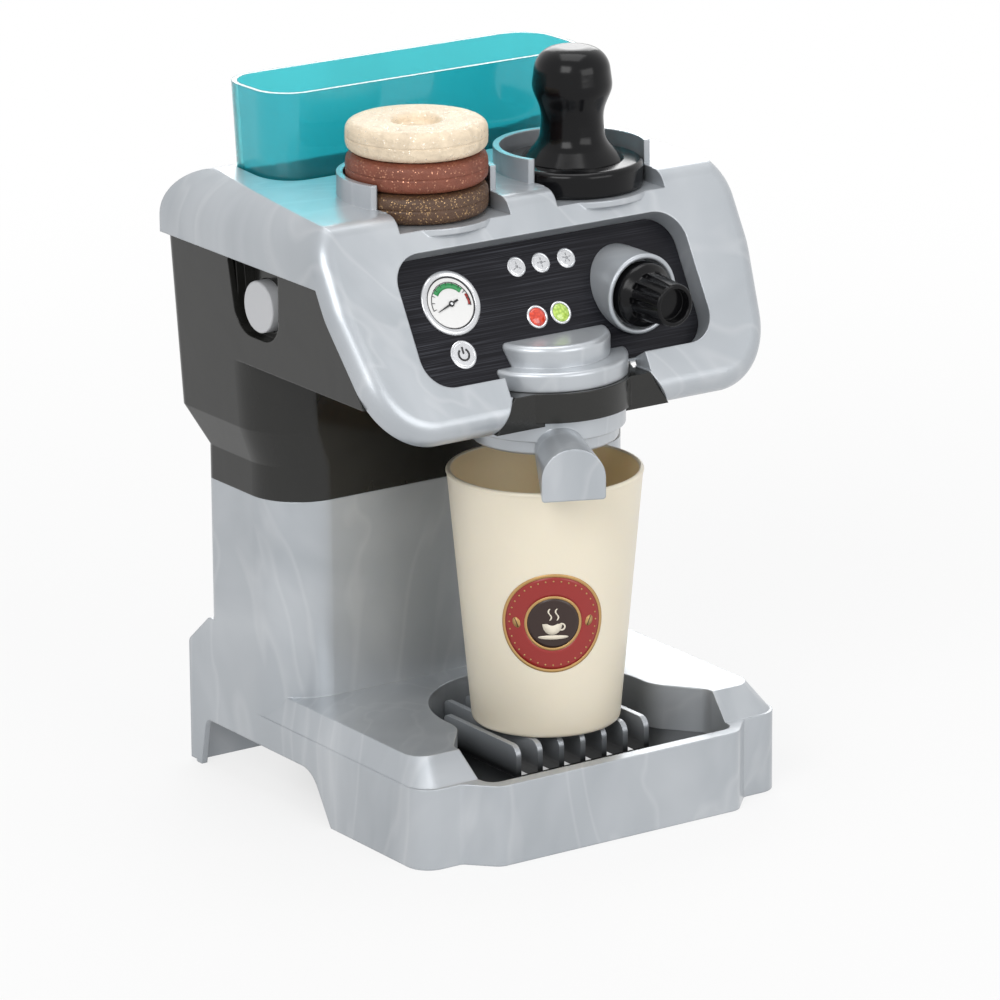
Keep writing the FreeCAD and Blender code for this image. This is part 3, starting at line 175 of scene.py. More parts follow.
def pearl_plastic(name, painted_shade_scale=1.0, edge=0.0008, painted_shade_below=None):
    """Silver plastic with pearl flakes and flow marks; a scale below 1 darkens it all as painted shade, and
    below a height, where one is given, painted shade turns it near black.
    """
    made, tree, shader = new_material(name)
    flow = noise_of(tree, 11, 3, 2.2, (1, 1, 0.55))
    cloud = ramp_of(tree, flow, [
        (0.28, (0.385 * painted_shade_scale, 0.413 * painted_shade_scale, 0.442 * painted_shade_scale)),
        (0.50, (0.450 * painted_shade_scale, 0.478 * painted_shade_scale, 0.508 * painted_shade_scale)),
        (0.74, (0.530 * painted_shade_scale, 0.556 * painted_shade_scale, 0.584 * painted_shade_scale)),
    ])
    veins = ramp_of(tree, noise_of(tree, 7, 2, 4.5, (1, 1, 0.5)), [
        (0.47, (0, 0, 0)), (0.50, (0.5, 0.5, 0.5)), (0.54, (0, 0, 0)),
    ])
    color = mixed(tree, 0.17, cloud, veins, "SCREEN")
    # Painted shade: below the given height range the colour goes to near black.
    if painted_shade_below:
        low, high = painted_shade_below
        split = tree.nodes.new("ShaderNodeSeparateXYZ")
        tree.links.new(place_of(tree), split.inputs["Vector"])
        rise = tree.nodes.new("ShaderNodeMapRange")
        rise.inputs["From Min"].default_value = low
        rise.inputs["From Max"].default_value = high
        tree.links.new(split.outputs["Z"], rise.inputs["Value"])
        color = mixed(tree, rise.outputs["Result"], (0.012, 0.013, 0.014), color)
    tree.links.new(color, shader.inputs["Base Color"])
    shader.inputs["Metallic"].default_value = 0.45
    tree.links.new(spread(tree, noise_of(tree, 60, 3), 0.26, 0.40), shader.inputs["Roughness"])
    shader.inputs["Coat Weight"].default_value = 0.25
    shader.inputs["Coat Roughness"].default_value = 0.12
    bumped(tree, shader, noise_of(tree, 2600, 2), 0.10, 0.0002, edge)
    return made


def black_plastic(name, color, shine, edge=0.0006):
    made, tree, shader = new_material(name)
    lighter = tuple(c * 1.9 for c in color)
    tree.links.new(mixed(tree, noise_of(tree, 25, 4, 1.0), color, lighter), shader.inputs["Base Color"])
    tree.links.new(spread(tree, noise_of(tree, 45, 4, 0.5), 0.10, 0.24), shader.inputs["Roughness"])
    shader.inputs["Specular IOR Level"].default_value = shine
    bumped(tree, shader, noise_of(tree, 55, 3, 0.6), 0.06, 0.002, edge)
    return made


def brushed_print(name):
    """Black foil with a brushed grain that runs across the panel."""
    made, tree, shader = new_material(name)
    streaks = noise_of(tree, 10, 6, 0.0, (2.2, 260, 260))
    patches = noise_of(tree, 22, 2, 0.4)
    grain = ramp_of(tree, streaks, [(0.36, (0.004, 0.004, 0.006)), (0.50, (0.012, 0.012, 0.016)),
                                    (0.66, (0.055, 0.057, 0.068))])
    dimmed = mixed(tree, ramp_of(tree, patches, [(0.35, (0.15, 0.15, 0.15)), (0.7, (0.9, 0.9, 0.9))]),
                   (0.010, 0.010, 0.013), grain)
    tree.links.new(dimmed, shader.inputs["Base Color"])
    shader.inputs["Metallic"].default_value = 0.35
    shader.inputs["Specular IOR Level"].default_value = 0.2
    tree.links.new(spread(tree, streaks, 0.28, 0.52), shader.inputs["Roughness"])
    bumped(tree, shader, streaks, 0.12, 0.0002)
    return made


def clear_plastic(name, color, transmission, roughness=0.07, edge=0.0006):
    made, tree, shader = new_material(name)
    deeper = tuple(c * 0.72 for c in color)
    tree.links.new(mixed(tree, noise_of(tree, 9, 2), deeper, color), shader.inputs["Base Color"])
    shader.inputs["Transmission Weight"].default_value = transmission
    shader.inputs["Roughness"].default_value = roughness
    shader.inputs["IOR"].default_value = 1.46
    bumped(tree, shader, noise_of(tree, 30, 2), 0.05, 0.001, edge)
    return made


def satin_plastic(name, color, roughness=0.38, glow=0.0, edge=0.0005, metallic=0.0):
    """Plain moulded plastic, a little uneven in tone and gloss."""
    made, tree, shader = new_material(name)
    darker = tuple(c * 0.90 for c in color)
    tree.links.new(mixed(tree, noise_of(tree, 22, 4, 0.8), darker, color), shader.inputs["Base Color"])
    tree.links.new(spread(tree, noise_of(tree, 70, 3), roughness - 0.06, roughness + 0.08),
                   shader.inputs["Roughness"])
    shader.inputs["Metallic"].default_value = metallic
    if glow:
        shader.inputs["Subsurface Weight"].default_value = glow
        shader.inputs["Subsurface Radius"].default_value = (1.0, 0.7, 0.4)
        shader.inputs["Subsurface Scale"].default_value = 0.004
    bumped(tree, shader, noise_of(tree, 900, 3), 0.08, 0.0003, edge)
    return made


def glitter_plastic(name, color, fleck, grain=0.5, amount=0.10):
    """Coarse matt plastic with fine glitter in it."""
    made, tree, shader = new_material(name)
    dark = tuple(c * 0.62 for c in color)
    light = tuple(c * 1.25 for c in color)
    cloud = mixed(tree, noise_of(tree, 140, 5, 0.8), dark, light)
    cells = add_node(tree, "ShaderNodeTexVoronoi", scale=2300)
    tree.links.new(place_of(tree), cells.inputs["Vector"])
    chosen = tree.nodes.new("ShaderNodeSeparateColor")
    tree.links.new(cells.outputs["Color"], chosen.inputs["Color"])
    shiny = ramp_of(tree, chosen.outputs["Red"], [(1 - amount - 0.02, (0, 0, 0)), (1 - amount, (1, 1, 1))])
    tree.links.new(mixed(tree, shiny, cloud, fleck), shader.inputs["Base Color"])
    tree.links.new(spread(tree, shiny, 0.0, 0.55), shader.inputs["Metallic"])
    tree.links.new(spread(tree, shiny, 0.55, 0.22), shader.inputs["Roughness"])
    bumped(tree, shader, noise_of(tree, 520, 5, 0.4), grain, 0.0008)
    return made


def steel(name):
    made, tree, shader = new_material(name)
    streaks = noise_of(tree, 40, 4, 0.0, (1, 1, 30))
    tree.links.new(ramp_of(tree, streaks, [(0.3, (0.42, 0.42, 0.43)), (0.7, (0.66, 0.66, 0.67))]),
                   shader.inputs["Base Color"])
    shader.inputs["Metallic"].default_value = 1.0
    tree.links.new(spread(tree, streaks, 0.22, 0.42), shader.inputs["Roughness"])
    return made


def lamp_print_painted_glow(name, dark, bright):
    """Coloured lamp window: faceted tone under a clear gloss, with a faint painted glow; the lamps are
    printed and not lit.
    """
    made, tree, shader = new_material(name)
    cells = add_node(tree, "ShaderNodeTexVoronoi", scale=900)
    tree.links.new(place_of(tree), cells.inputs["Vector"])
    tree.links.new(mixed(tree, cells.outputs["Distance"], bright, dark), shader.inputs["Base Color"])
    shader.inputs["Roughness"].default_value = 0.12
    shader.inputs["Coat Weight"].default_value = 0.6
    # Painted glow: a faint emission in the bright colour.
    shader.inputs["Emission Color"].default_value = (*bright, 1)
    shader.inputs["Emission Strength"].default_value = 0.12
    return made


SILVER = pearl_plastic("pearl_silver")
# The fins: a darker copy of the silver, with painted shade that deepens to near black down between them.
SILVER_FINS_PAINTED_SHADE = pearl_plastic("pearl_silver_fins_painted_shade", 0.92, 0.0005, (0.0236, 0.0330))
BLACK = black_plastic("gloss_black", (0.010, 0.010, 0.009), 0.42)
BLACK_SMALL = black_plastic("gloss_black_small", (0.003, 0.003, 0.0035), 0.20)
FOIL = brushed_print("brushed_foil")
TANK = clear_plastic("turquoise_clear", (0.13, 0.80, 0.87), 0.85)
TUBE = clear_plastic("tube_clear", (0.80, 0.84, 0.86), 0.7, 0.2)
CREAM = satin_plastic("cup_cream", (0.90, 0.815, 0.655), 0.34, 0.12)
# The inside of the cup is the same cream plastic; its warmer colour is painted shade and light glowing
# through the wall.
CUP_INSIDE_PAINTED_SHADE_AND_GLOW = satin_plastic("cup_inside_painted_shade_and_glow", (0.97, 0.80, 0.54), 0.42, 0.30)
GREY = satin_plastic("grey_plastic", (0.60, 0.61, 0.63), 0.40)
PAD_CREAM = glitter_plastic("pad_cream", (0.84, 0.70, 0.52), (0.93, 0.84, 0.70), 0.7, 0.02)
PAD_RED = glitter_plastic("pad_red", (0.215, 0.062, 0.034), (0.55, 0.26, 0.16), 0.45, 0.05)
PAD_BROWN = glitter_plastic("pad_brown", (0.092, 0.046, 0.024), (0.46, 0.29, 0.14), 0.45, 0.08)
STEEL = steel("steel")
CHROME = satin_plastic("print_silver", (0.66, 0.67, 0.69), 0.24, 0.0, 0.0, 0.75)
PRINT_WHITE = satin_plastic("print_white", (0.86, 0.86, 0.85), 0.30, 0.0, 0.0)
PRINT_BLACK = satin_plastic("print_black", (0.02, 0.02, 0.022), 0.35, 0.0, 0.0)
PRINT_GREEN = satin_plastic("print_green", (0.03, 0.30, 0.09), 0.35, 0.0, 0.0)
PRINT_RED = satin_plastic("print_red", (0.33, 0.022, 0.018), 0.30, 0.0, 0.0)
PRINT_GOLD = satin_plastic("print_gold", (0.55, 0.33, 0.12), 0.34, 0.0, 0.0, 0.35)
PRINT_BROWN = satin_plastic("print_brown", (0.030, 0.012, 0.008), 0.32, 0.0, 0.0)
PRINT_CREAM = satin_plastic("print_cream", (0.88, 0.80, 0.66), 0.34, 0.0, 0.0)
LAMP_RED_PAINTED_GLOW = lamp_print_painted_glow("lamp_red", (0.38, 0.012, 0.008), (0.85, 0.07, 0.02))
LAMP_GREEN_PAINTED_GLOW = lamp_print_painted_glow("lamp_green", (0.16, 0.34, 0.02), (0.62, 0.80, 0.16))

NODE_MATERIALS = {
    SILVER: ("base_housing", "top_cover", "brew_head", "knob_collar", "filter_holder", "filter_base"),
    SILVER_FINS_PAINTED_SHADE: ("drip_grille",),
    BLACK: ("body_housing", "group_collar"),
    BLACK_SMALL: ("rotary_knob", "tamper_disc", "tamper_handle"),
    FOIL: ("control_panel",),
    TANK: ("water_tank",),
    TUBE: ("water_tube",),
    CREAM: ("cup",),
    GREY: ("outlet_nozzle", "valve_block", "click_wheel", "side_button"),
    PAD_CREAM: ("pad_cream",),
    PAD_RED: ("pad_red",),
    PAD_BROWN: ("pad_brown",),
    STEEL: ("knob_screw", "click_spring", "button_spring", "base_screws", "cover_screws"),
}
for material, names in NODE_MATERIALS.items():
    for name in names:
        mesh = NODES[name].data
        mesh.materials.clear()
        mesh.materials.append(material)


# Mesh making

def new_piece(name, points, faces, materials, body, smooth=True):
    """A mesh from points and faces; a face may carry the number of its material."""
    mesh = bpy.data.meshes.new(name)
    mesh.from_pydata([tuple(p) for p in points], [], [face[0] for face in faces])
    for material in materials:
        mesh.materials.append(material)
    for polygon, face in zip(mesh.polygons, faces):
        polygon.material_index = face[1]
        polygon.use_smooth = smooth
    shaper = bmesh.new()
    shaper.from_mesh(mesh)
    bmesh.ops.remove_doubles(shaper, verts=shaper.verts, dist=1e-7)
    bmesh.ops.recalc_face_normals(shaper, faces=shaper.faces)
    shaper.to_mesh(mesh)
    shaper.free()
    made = bpy.data.objects.new(name, mesh)
    bpy.context.scene.collection.objects.link(made)
    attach(made, body)
    return made


def turned(profile, place, count=96, material_from=None):
    """Points and faces of a profile of (radius, height) turned about the local third axis."""
    points, rings, faces = [], [], []
    for radius, height in profile:
        if radius < 1e-9:
            rings.append([len(points)] * count)
            points.append(place @ Vector((0, 0, height)))
        else:
            start = len(points)
            rings.append([start + i for i in range(count)])
            for i in range(count):
                angle = 2 * math.pi * i / count
                points.append(place @ Vector((radius * math.cos(angle), radius * math.sin(angle), height)))
    for row, (low, high) in enumerate(zip(rings, rings[1:])):
        kind = 1 if material_from and material_from[0] <= row < material_from[1] else 0
        for i in range(count):
            j = (i + 1) % count
            corners = [low[i], low[j], high[j], high[i]]
            unique = list(dict.fromkeys(corners))
            if len(unique) > 2:
                faces.append((unique, kind))
    return points, faces


def rounded(profile, steps=5):
    """A profile of (radius, height[, rounding]) with its marked corners rounded."""
    made = []
    for index, corner in enumerate(profile):
        size = corner[2] if len(corner) > 2 else 0
        here = Vector(corner[:2])
        if not size or index in (0, len(profile) - 1):
            made.append(tuple(here))
            continue
        before = Vector(profile[index - 1][:2]) - here
        after = Vector(profile[index + 1][:2]) - here
        reach = min(size, before.length * 0.49, after.length * 0.49)
        start = here + before.normalized() * reach
        end = here + after.normalized() * reach
        for step in range(steps + 1):
            t = step / steps
            made.append(tuple(start * (1 - t) ** 2 + here * 2 * t * (1 - t) + end * t * t))
    return made


# Cup

def cup_radius(height):
    share = (height - CUP_FOOT) / (CUP_RIM - CUP_FOOT)
    return CUP_FOOT_RADIUS + share * (CUP_RIM_RADIUS - CUP_FOOT_RADIUS)


foot, rim, wall = CUP_FOOT, CUP_RIM, CUP_WALL
inner_floor = foot + CUP_FLOOR
cup_profile = rounded([
    (0, foot + 0.0022),
    (CUP_FOOT_RADIUS - 0.0042, foot + 0.0022, 0.0008),
    (CUP_FOOT_RADIUS - 0.0034, foot, 0.0006),
    (CUP_FOOT_RADIUS, foot, 0.0016),
    (cup_radius(foot + 0.004), foot + 0.004),
    (cup_radius(rim - 0.03), rim - 0.03),
    (cup_radius(rim - 0.0016), rim - 0.0016, 0.0004),
    (CUP_RIM_RADIUS + 0.0003, rim - 0.0010, 0.0006),
    (CUP_RIM_RADIUS - 0.0002, rim, 0.0006),
    (CUP_RIM_RADIUS - wall, rim, 0.0007),
    (cup_radius(rim - 0.002) - wall, rim - 0.002),
    (cup_radius(inner_floor) - wall, inner_floor, 0.003),
    (0, inner_floor),
])
# The inner rows take the second material, whose colour is painted shade and glow.
inside_from = len(cup_profile) - 9
points, faces = turned(cup_profile, Matrix.Translation(CUP_AXIS), 128, (inside_from, len(cup_profile)))
cup = new_piece("paper_look_cup", points, faces, [CREAM, CUP_INSIDE_PAINTED_SHADE_AND_GLOW], "cup")
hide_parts("cup")


# Pads

def make_pad(node, material, grain, seed):
    """A pressed pad: rounded edges, a dimple in the middle and a moulding line round the side."""
    low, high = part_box(node)
    centre = (low + high) / 2
    radius = (high.x - low.x) / 2
    thick = high.z - low.z
    half = thick / 2
    profile = rounded([
        (0, half - DIMPLE_DEEP),
        (DIMPLE_R, half - DIMPLE_DEEP, 0.0010),
        (0.0088, half - 0.0008, 0.0012),
        (0.0106, half, 0.0012),
        (radius - 0.0026, half, 0.0016),
        (radius - 0.0002, half - 0.0018, 0.0018),
        (radius, 0.0005, 0.0004),
        (radius - 0.0004, 0, 0.0003),
        (radius, -0.0005, 0.0004),
        (radius - 0.0002, 0.0018 - half, 0.0018),
        (radius - 0.0026, -half, 0.0016),
        (0, -half),
    ], 6)
    place = Matrix.Translation(centre)
    points, faces = turned(profile, place, 144)
    body = {"pad_brown": "pad_bottom", "pad_red": "pad_middle", "pad_cream": "pad_top"}[node]
    made = new_piece(f"{node}_pressed", points, faces, [material], body)
    split = made.modifiers.new("finer", "SUBSURF")
    split.levels = split.render_levels = 1
    for vertex in made.data.vertices:
        offset = noise.noise(vertex.co * PAD_NOISE + Vector((seed, 0, 0))) * grain
        outward = Vector((vertex.co.x - centre.x, vertex.co.y - centre.y, 0))
        if outward.length > 0.001:
            vertex.co -= outward.normalized() * abs(offset)
    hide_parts(node)
    return made


make_pad("pad_brown", PAD_BROWN, 0.00020, 1)
make_pad("pad_red", PAD_RED, 0.00020, 5)
make_pad("pad_cream", PAD_CREAM, 0.00030, 9)


# Prints on the panel: x across, s down the slope from its top edge

panel_points = [vertex.co for vertex in NODES["control_panel"].data.vertices]
PANEL_FACE = max(point.dot(OUT) for point in panel_points)
PANEL_TOP = min(point.dot(DOWN) for point in panel_points)


def on_panel(x, s, lift=0.0):
    return ACROSS * x + DOWN * (PANEL_TOP + s) + OUT * (PANEL_FACE + lift)


def panel_place(x, s):
    """A frame on the panel: first axis across, second up the slope, third outwards."""
    frame_at = Matrix((ACROSS, -DOWN, OUT)).transposed().to_4x4()
    return Matrix.Translation(on_panel(x, s)) @ frame_at


def panel_round(name, x, s, profile, material, count=72):
    points, faces = turned(rounded(profile), panel_place(x, s), count)
    return new_piece(name, points, faces, [material], "machine")


def ring_shape(inner, outer, start=0.0, end=360.0, across=1, around=60):
    """Flat ring or sector as points (u, v) and faces; angles in degrees, anticlockwise from the right."""
    points, faces = [], []
    for i in range(around + 1):
        angle = math.radians(start + (end - start) * i / around)
        for k in range(across + 1):
            radius = inner + (outer - inner) * k / across
            points.append((radius * math.cos(angle), radius * math.sin(angle)))
    row = across + 1
    for i in range(around):
        for k in range(across):
            first = i * row + k
            faces.append(([first, first + 1, first + row + 1, first + row], 0))
    return points, faces


def fill_shape(outline):
    """A convex outline as one fan of faces round its middle."""
    middle = (sum(p[0] for p in outline) / len(outline), sum(p[1] for p in outline) / len(outline))
    points = [middle, *outline]
    count = len(outline)
    return points, [([0, i + 1, (i + 1) % count + 1], 0) for i in range(count)]


def moved(shape, u, v, turn=0.0):
    points, faces = shape
    c, s = math.cos(math.radians(turn)), math.sin(math.radians(turn))
    return [(u + p[0] * c - p[1] * s, v + p[0] * s + p[1] * c) for p in points], faces


def joined(shapes):
    points, faces = [], []
    for shape_points, shape_faces in shapes:
        start = len(points)
        points.extend(shape_points)
        faces.extend(([start + i for i in corners], kind) for corners, kind in shape_faces)
    return points, faces


def thin(name, shape, surface, lift, material, body):
    """A flat shape laid on a surface as a thin solid print."""
    points, faces = shape
    made = new_piece(name, [surface(u, v, lift) for u, v in points], faces, [material], body)
    skin = made.modifiers.new("thickness", "SOLIDIFY")
    skin.thickness = PRINT_THICK
    skin.offset = 0
    return made


def panel_print(name, x, s, shape, lift, material):
    def surface(u, v, height):
        return on_panel(x + u, s - v, height)

    return thin(name, shape, surface, lift, material, "machine")


panel_round("gauge_rim", GAUGE_X, GAUGE_S, [
    (GAUGE_R - 0.0024, 0), (GAUGE_R - 0.0024, 0.0007, 0.0003), (GAUGE_R - 0.0012, 0.0010, 0.0004),
    (GAUGE_R - 0.0002, 0.0006, 0.0003), (GAUGE_R, 0), (GAUGE_R - 0.0024, 0),
], CHROME, 96)
panel_round("gauge_shadow", GAUGE_X, GAUGE_S, [
    (0, 0.0002), (GAUGE_R - 0.0023, 0.0002, 0.0001), (GAUGE_R - 0.0023, 0),
], PRINT_BLACK, 96)
panel_round("gauge_face", GAUGE_X, GAUGE_S, [
    (0, 0.0004), (GAUGE_R - 0.0030, 0.0004, 0.0001), (GAUGE_R - 0.0028, 0),
], PRINT_WHITE, 96)
panel_print("gauge_green", GAUGE_X, GAUGE_DIAL_S, ring_shape(0.0058, 0.0078, 38, 142), 0.0005, PRINT_GREEN)
scale_marks = [ring_shape(0.0080, 0.00825, -12, 192)]
for angle in range(-10, 191, 20):
    tick = [(0.0068, -0.0001), (0.0080, -0.0001), (0.0080, 0.0001), (0.0068, 0.0001)]
    scale_marks.append(moved(fill_shape(tick), 0, 0, angle))
panel_print("gauge_scale", GAUGE_X, GAUGE_DIAL_S, joined(scale_marks), 0.00056, PRINT_BLACK)
panel_print("gauge_red", GAUGE_X, GAUGE_DIAL_S, ring_shape(0.0070, 0.0079, -10, 22), 0.00050, PRINT_RED)
needle = [(-0.0032, -0.00035), (0.0, -0.00045), (0.0068, -0.00008), (0.0068, 0.00008), (0.0, 0.00045),
          (-0.0032, 0.00035)]
hands = [moved(fill_shape(needle), 0, 0, 200), ring_shape(0.0, 0.0011)]
panel_print("gauge_needle", GAUGE_X, GAUGE_DIAL_S, joined(hands), 0.00075, PRINT_BLACK)
hub = [(0, 0.0012), (0.0006, 0.0011, 0.0002), (0.0006, 0.0004)]
panel_round("gauge_hub", GAUGE_X, GAUGE_DIAL_S, hub, CHROME, 32)

for number, x in enumerate(BUTTON_PLACES, start=1):
    panel_round(f"print_button_{number}", x, BUTTON_S, [
        (0, 0.00038), (0.0028, 0.00038, 0.0002), (0.0030, 0.00028, 0.0001), (0.0033, 0.00045, 0.0002),
        (0.0038, 0.0002, 0.0002), (0.0038, 0),
    ], CHROME, 64)
    mark = [ring_shape(0.0, 0.00055)]
    for turn in range(0, 360, 360 // (number + 2)):
        bar = [(0.0009, -0.00018), (0.0019, -0.00012), (0.0019, 0.00012), (0.0009, 0.00018)]
        mark.append(moved(fill_shape(bar), 0, 0, turn + 90))
    panel_print(f"print_mark_{number}", x, BUTTON_S, joined(mark), 0.00045, GREY)

for name, x, material in (("lamp_red", -0.0047, LAMP_RED_PAINTED_GLOW), ("lamp_green", 0.0056, LAMP_GREEN_PAINTED_GLOW)):
    panel_round(f"{name}_rim", x, LAMP_S, [
        (0.0034, 0), (0.0034, 0.0004, 0.0002), (0.0039, 0.0007, 0.0003), (0.0044, 0.0003, 0.0002),
        (0.0044, 0), (0.0034, 0),
    ], CHROME, 64)
    panel_round(f"{name}_window", x, LAMP_S, [
        (0, 0.0010), (0.0014, 0.0009, 0.0006), (0.0028, 0.0005, 0.0006), (0.0034, 0.0001),
    ], material, 64)

panel_round("power_disc", POWER_X, POWER_S, [
    (0, 0.00035), (0.0042, 0.00035, 0.0002), (0.0044, 0.00022, 0.0001), (0.0047, 0.00045, 0.0002),
    (0.0053, 0.0002, 0.0002), (0.0053, 0),
], CHROME, 80)
bar = [(-0.00032, 0.0003), (0.00032, 0.0003), (0.00032, 0.0029), (-0.00032, 0.0029)]
power = joined([ring_shape(0.0018, 0.0025, 125, 415), fill_shape(bar)])
panel_print("power_symbol", POWER_X, POWER_S, power, 0.00045, PRINT_BLACK)


# Badge on the cup: a plain ring design with a small cup picture

def on_cup(u, v, lift):
    height = BADGE_HEIGHT + v
    radius = cup_radius(height) + lift
    angle = BADGE_ANGLE + u / radius
    return CUP_AXIS + Vector((radius * math.sin(angle), -radius * math.cos(angle), height))


def cup_print(name, shape, lift, material):
    return thin(name, shape, on_cup, lift, material, "cup")


for name, radii, across, around, lift, material in (
    ("badge_gold_edge", (BADGE_BAND_R, BADGE_R), 2, 120, 0.00008, PRINT_GOLD),
    ("badge_red", (BADGE_INNER_R, BADGE_BAND_R), 6, 120, 0.00007, PRINT_RED),
    ("badge_gold_inner", (BADGE_CENTRE_R, BADGE_INNER_R), 2, 96, 0.00008, PRINT_GOLD),
    ("badge_centre", (0.0, BADGE_CENTRE_R), 8, 96, 0.00007, PRINT_BROWN),
):
    cup_print(name, ring_shape(*radii, across=across, around=around), lift, material)
dots = []
for degrees in range(0, 360, 10):
    angle = math.radians(degrees)
    dot = ring_shape(0.0, 0.00032, around=12)
    dots.append(moved(dot, BADGE_DOTS_R * math.cos(angle), BADGE_DOTS_R * math.sin(angle)))
cup_print("badge_dots", joined(dots), 0.00018, PRINT_GOLD)


def ellipse(half_u, half_v, start=0.0, end=360.0, steps=28):
    return [(half_u * math.cos(math.radians(start + (end - start) * i / steps)),
             half_v * math.sin(math.radians(start + (end - start) * i / steps))) for i in range(steps)]


beans, creases = [], []
for side in (-1, 1):
    beans.append(moved(fill_shape(ellipse(0.0014, 0.0021)), side * BADGE_BEANS_R, 0, side * -22))
    line = [(-0.00014, -0.0019), (0.00014, -0.0019), (0.00014, 0.0019), (-0.00014, 0.0019)]
    creases.append(moved(fill_shape(line), side * BADGE_BEANS_R, 0, side * -22))
cup_print("badge_beans", joined(beans), 0.00020, PRINT_GOLD)
cup_print("badge_bean_creases", joined(creases), 0.00030, PRINT_BROWN)

BOWL_HALF, BOWL_TOP = 0.0036, 0.0004
bowl_side = [(u, v + BOWL_TOP) for u, v in ellipse(BOWL_HALF, 0.0042, 0, -180, 24)]
bowl = [(BOWL_HALF, BOWL_TOP), *bowl_side, (-BOWL_HALF, BOWL_TOP)]
picture = [
    moved(fill_shape(bowl), -0.0004, -0.0006),
    moved(ring_shape(0.0009, 0.0015, -110, 110), 0.0030, -0.0014),
    moved(fill_shape(ellipse(0.0056, 0.0008)), 0, -0.0054),
]
for steam in (-0.0013, 0.0013):
    path = [(steam + 0.0006 * math.sin(i * 0.9), 0.0012 + i * 0.00065) for i in range(8)]
    for (u0, v0), (u1, v1) in zip(path, path[1:]):
        picture.append(fill_shape([(u0 - 0.00028, v0), (u0 + 0.00028, v0), (u1 + 0.00028, v1),
                                   (u1 - 0.00028, v1)]))
cup_print("badge_picture", joined(picture), 0.00022, PRINT_CREAM)


# Floor, background and light

def camera_white(tree, shader_output, share):
    """Mixes in plain white for what the camera and mirror-like surfaces see."""
    path = tree.nodes.new("ShaderNodeLightPath")
    white = add_node(tree, "ShaderNodeEmission")
    white.inputs["Color"].default_value = (1, 1, 1, 1)
    white.inputs["Strength"].default_value = 1.0
    seen = add_node(tree, "ShaderNodeMath", operation="MAXIMUM")
    tree.links.new(path.outputs["Is Camera Ray"], seen.inputs[0])
    tree.links.new(path.outputs["Is Glossy Ray"], seen.inputs[1])
    seen_through = add_node(tree, "ShaderNodeMath", operation="MAXIMUM")
    tree.links.new(seen.outputs[0], seen_through.inputs[0])
    tree.links.new(path.outputs["Is Transmission Ray"], seen_through.inputs[1])
    part = add_node(tree, "ShaderNodeMath", operation="MULTIPLY")
    tree.links.new(seen_through.outputs[0], part.inputs[0])
    if isinstance(share, bpy.types.NodeSocket):
        tree.links.new(share, part.inputs[1])
    else:
        part.inputs[1].default_value = share
    blend = tree.nodes.new("ShaderNodeMixShader")
    tree.links.new(part.outputs[0], blend.inputs["Fac"])
    tree.links.new(shader_output, blend.inputs[1])
    tree.links.new(white.outputs["Emission"], blend.inputs[2])
    return blend.outputs["Shader"]


bpy.ops.mesh.primitive_plane_add(size=14, location=(0, 0, -0.0001))
floor = bpy.context.object
floor.name = "floor"
floor_material, tree, shader = new_material("floor_white")
shader.inputs["Base Color"].default_value = (0.80, 0.80, 0.80, 1)
shader.inputs["Roughness"].default_value = 0.9
shader.inputs["Specular IOR Level"].default_value = 0.0
output = tree.nodes["Material Output"]
# Under the base the floor stays in shade, as seen through the slots of the grille
distance = add_node(tree, "ShaderNodeVectorMath", operation="LENGTH")
tree.links.new(place_of(tree), distance.inputs[0])
open_floor = tree.nodes.new("ShaderNodeMapRange")
open_floor.interpolation_type = "SMOOTHSTEP"
open_floor.inputs["From Min"].default_value = 0.015
open_floor.inputs["From Max"].default_value = 0.090
open_floor.inputs["To Min"].default_value = 0.40
open_floor.inputs["To Max"].default_value = 0.80
tree.links.new(distance.outputs["Value"], open_floor.inputs["Value"])
far_floor = tree.nodes.new("ShaderNodeMapRange")
far_floor.interpolation_type = "SMOOTHSTEP"
far_floor.inputs["From Min"].default_value = 0.25
far_floor.inputs["From Max"].default_value = 1.00
far_floor.inputs["To Max"].default_value = 0.20
tree.links.new(distance.outputs["Value"], far_floor.inputs["Value"])
white_share = add_node(tree, "ShaderNodeMath", operation="ADD")
tree.links.new(open_floor.outputs["Result"], white_share.inputs[0])
tree.links.new(far_floor.outputs["Result"], white_share.inputs[1])
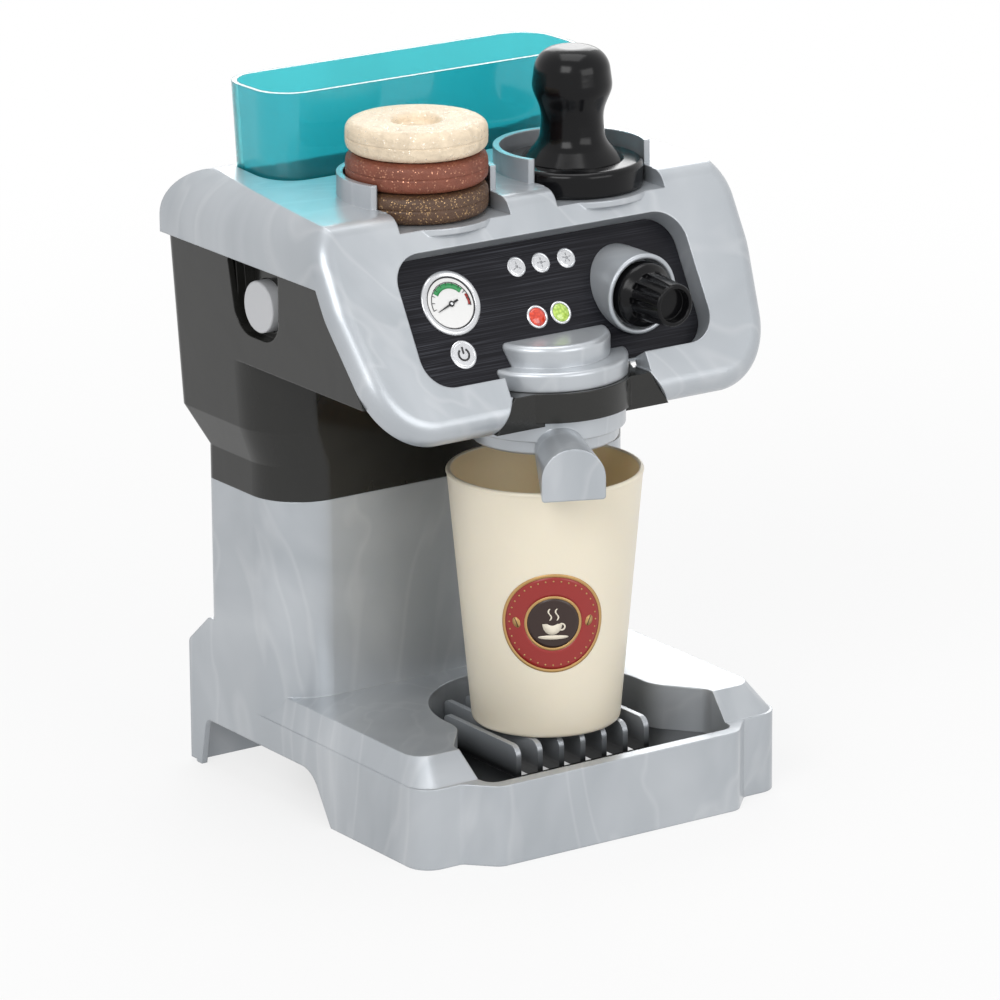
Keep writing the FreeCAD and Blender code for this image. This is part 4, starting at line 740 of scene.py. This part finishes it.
floor_seen = camera_white(tree, shader.outputs["BSDF"], white_share.outputs[0])
tree.links.new(floor_seen, output.inputs["Surface"])
floor.data.materials.append(floor_material)

world = bpy.data.worlds.new("studio")
bpy.context.scene.world = world
world.use_nodes = True
sky = world.node_tree.nodes["Background"]
sky.inputs["Color"].default_value = (1, 1, 1, 1)
sky.inputs["Strength"].default_value = 0.40
world.node_tree.links.new(camera_white(world.node_tree, sky.outputs["Background"], 1.0),
                          world.node_tree.nodes["World Output"].inputs["Surface"])


def area_light(name, place, target, size, power):
    data = bpy.data.lights.new(name, "AREA")
    data.shape = "RECTANGLE"
    data.size, data.size_y = size
    data.energy = power
    made = bpy.data.objects.new(name, data)
    bpy.context.scene.collection.objects.link(made)
    made.location = place
    made.rotation_euler = (Vector(target) - Vector(place)).to_track_quat("-Z", "Y").to_euler()


MIDDLE = (0, 0, 0.13)
area_light("key", (-1.3, -0.9, 1.2), MIDDLE, (0.9, 0.9), 13.5)
area_light("front", (0.4, -1.7, 0.7), MIDDLE, (1.2, 0.8), 9)
area_light("top", (0.1, 0.1, 1.6), MIDDLE, (1.0, 1.0), 9)
area_light("rim", (0.9, 1.3, 0.9), MIDDLE, (0.9, 0.9), 7)

right = CAMERA_FORWARD.cross(Vector((0, 0, 1))).normalized()
up = right.cross(CAMERA_FORWARD).normalized()
rolled_right = right * math.cos(CAMERA_ROLL) + up * math.sin(CAMERA_ROLL)
rolled_up = up * math.cos(CAMERA_ROLL) - right * math.sin(CAMERA_ROLL)
camera_data = bpy.data.cameras.new("camera")
camera_data.sensor_width = SENSOR
camera_data.lens = CAMERA_LENS
camera_data.clip_start = 0.1
camera_data.clip_end = 100
camera = bpy.data.objects.new("camera", camera_data)
bpy.context.scene.collection.objects.link(camera)
turned_to = Matrix((rolled_right, rolled_up, -CAMERA_FORWARD)).transposed().to_4x4()
camera.matrix_world = Matrix.Translation(CAMERA_PLACE) @ turned_to
bpy.context.scene.camera = camera
bpy.context.scene.view_settings.view_transform = "Standard"

bpy.context.view_layer.update()
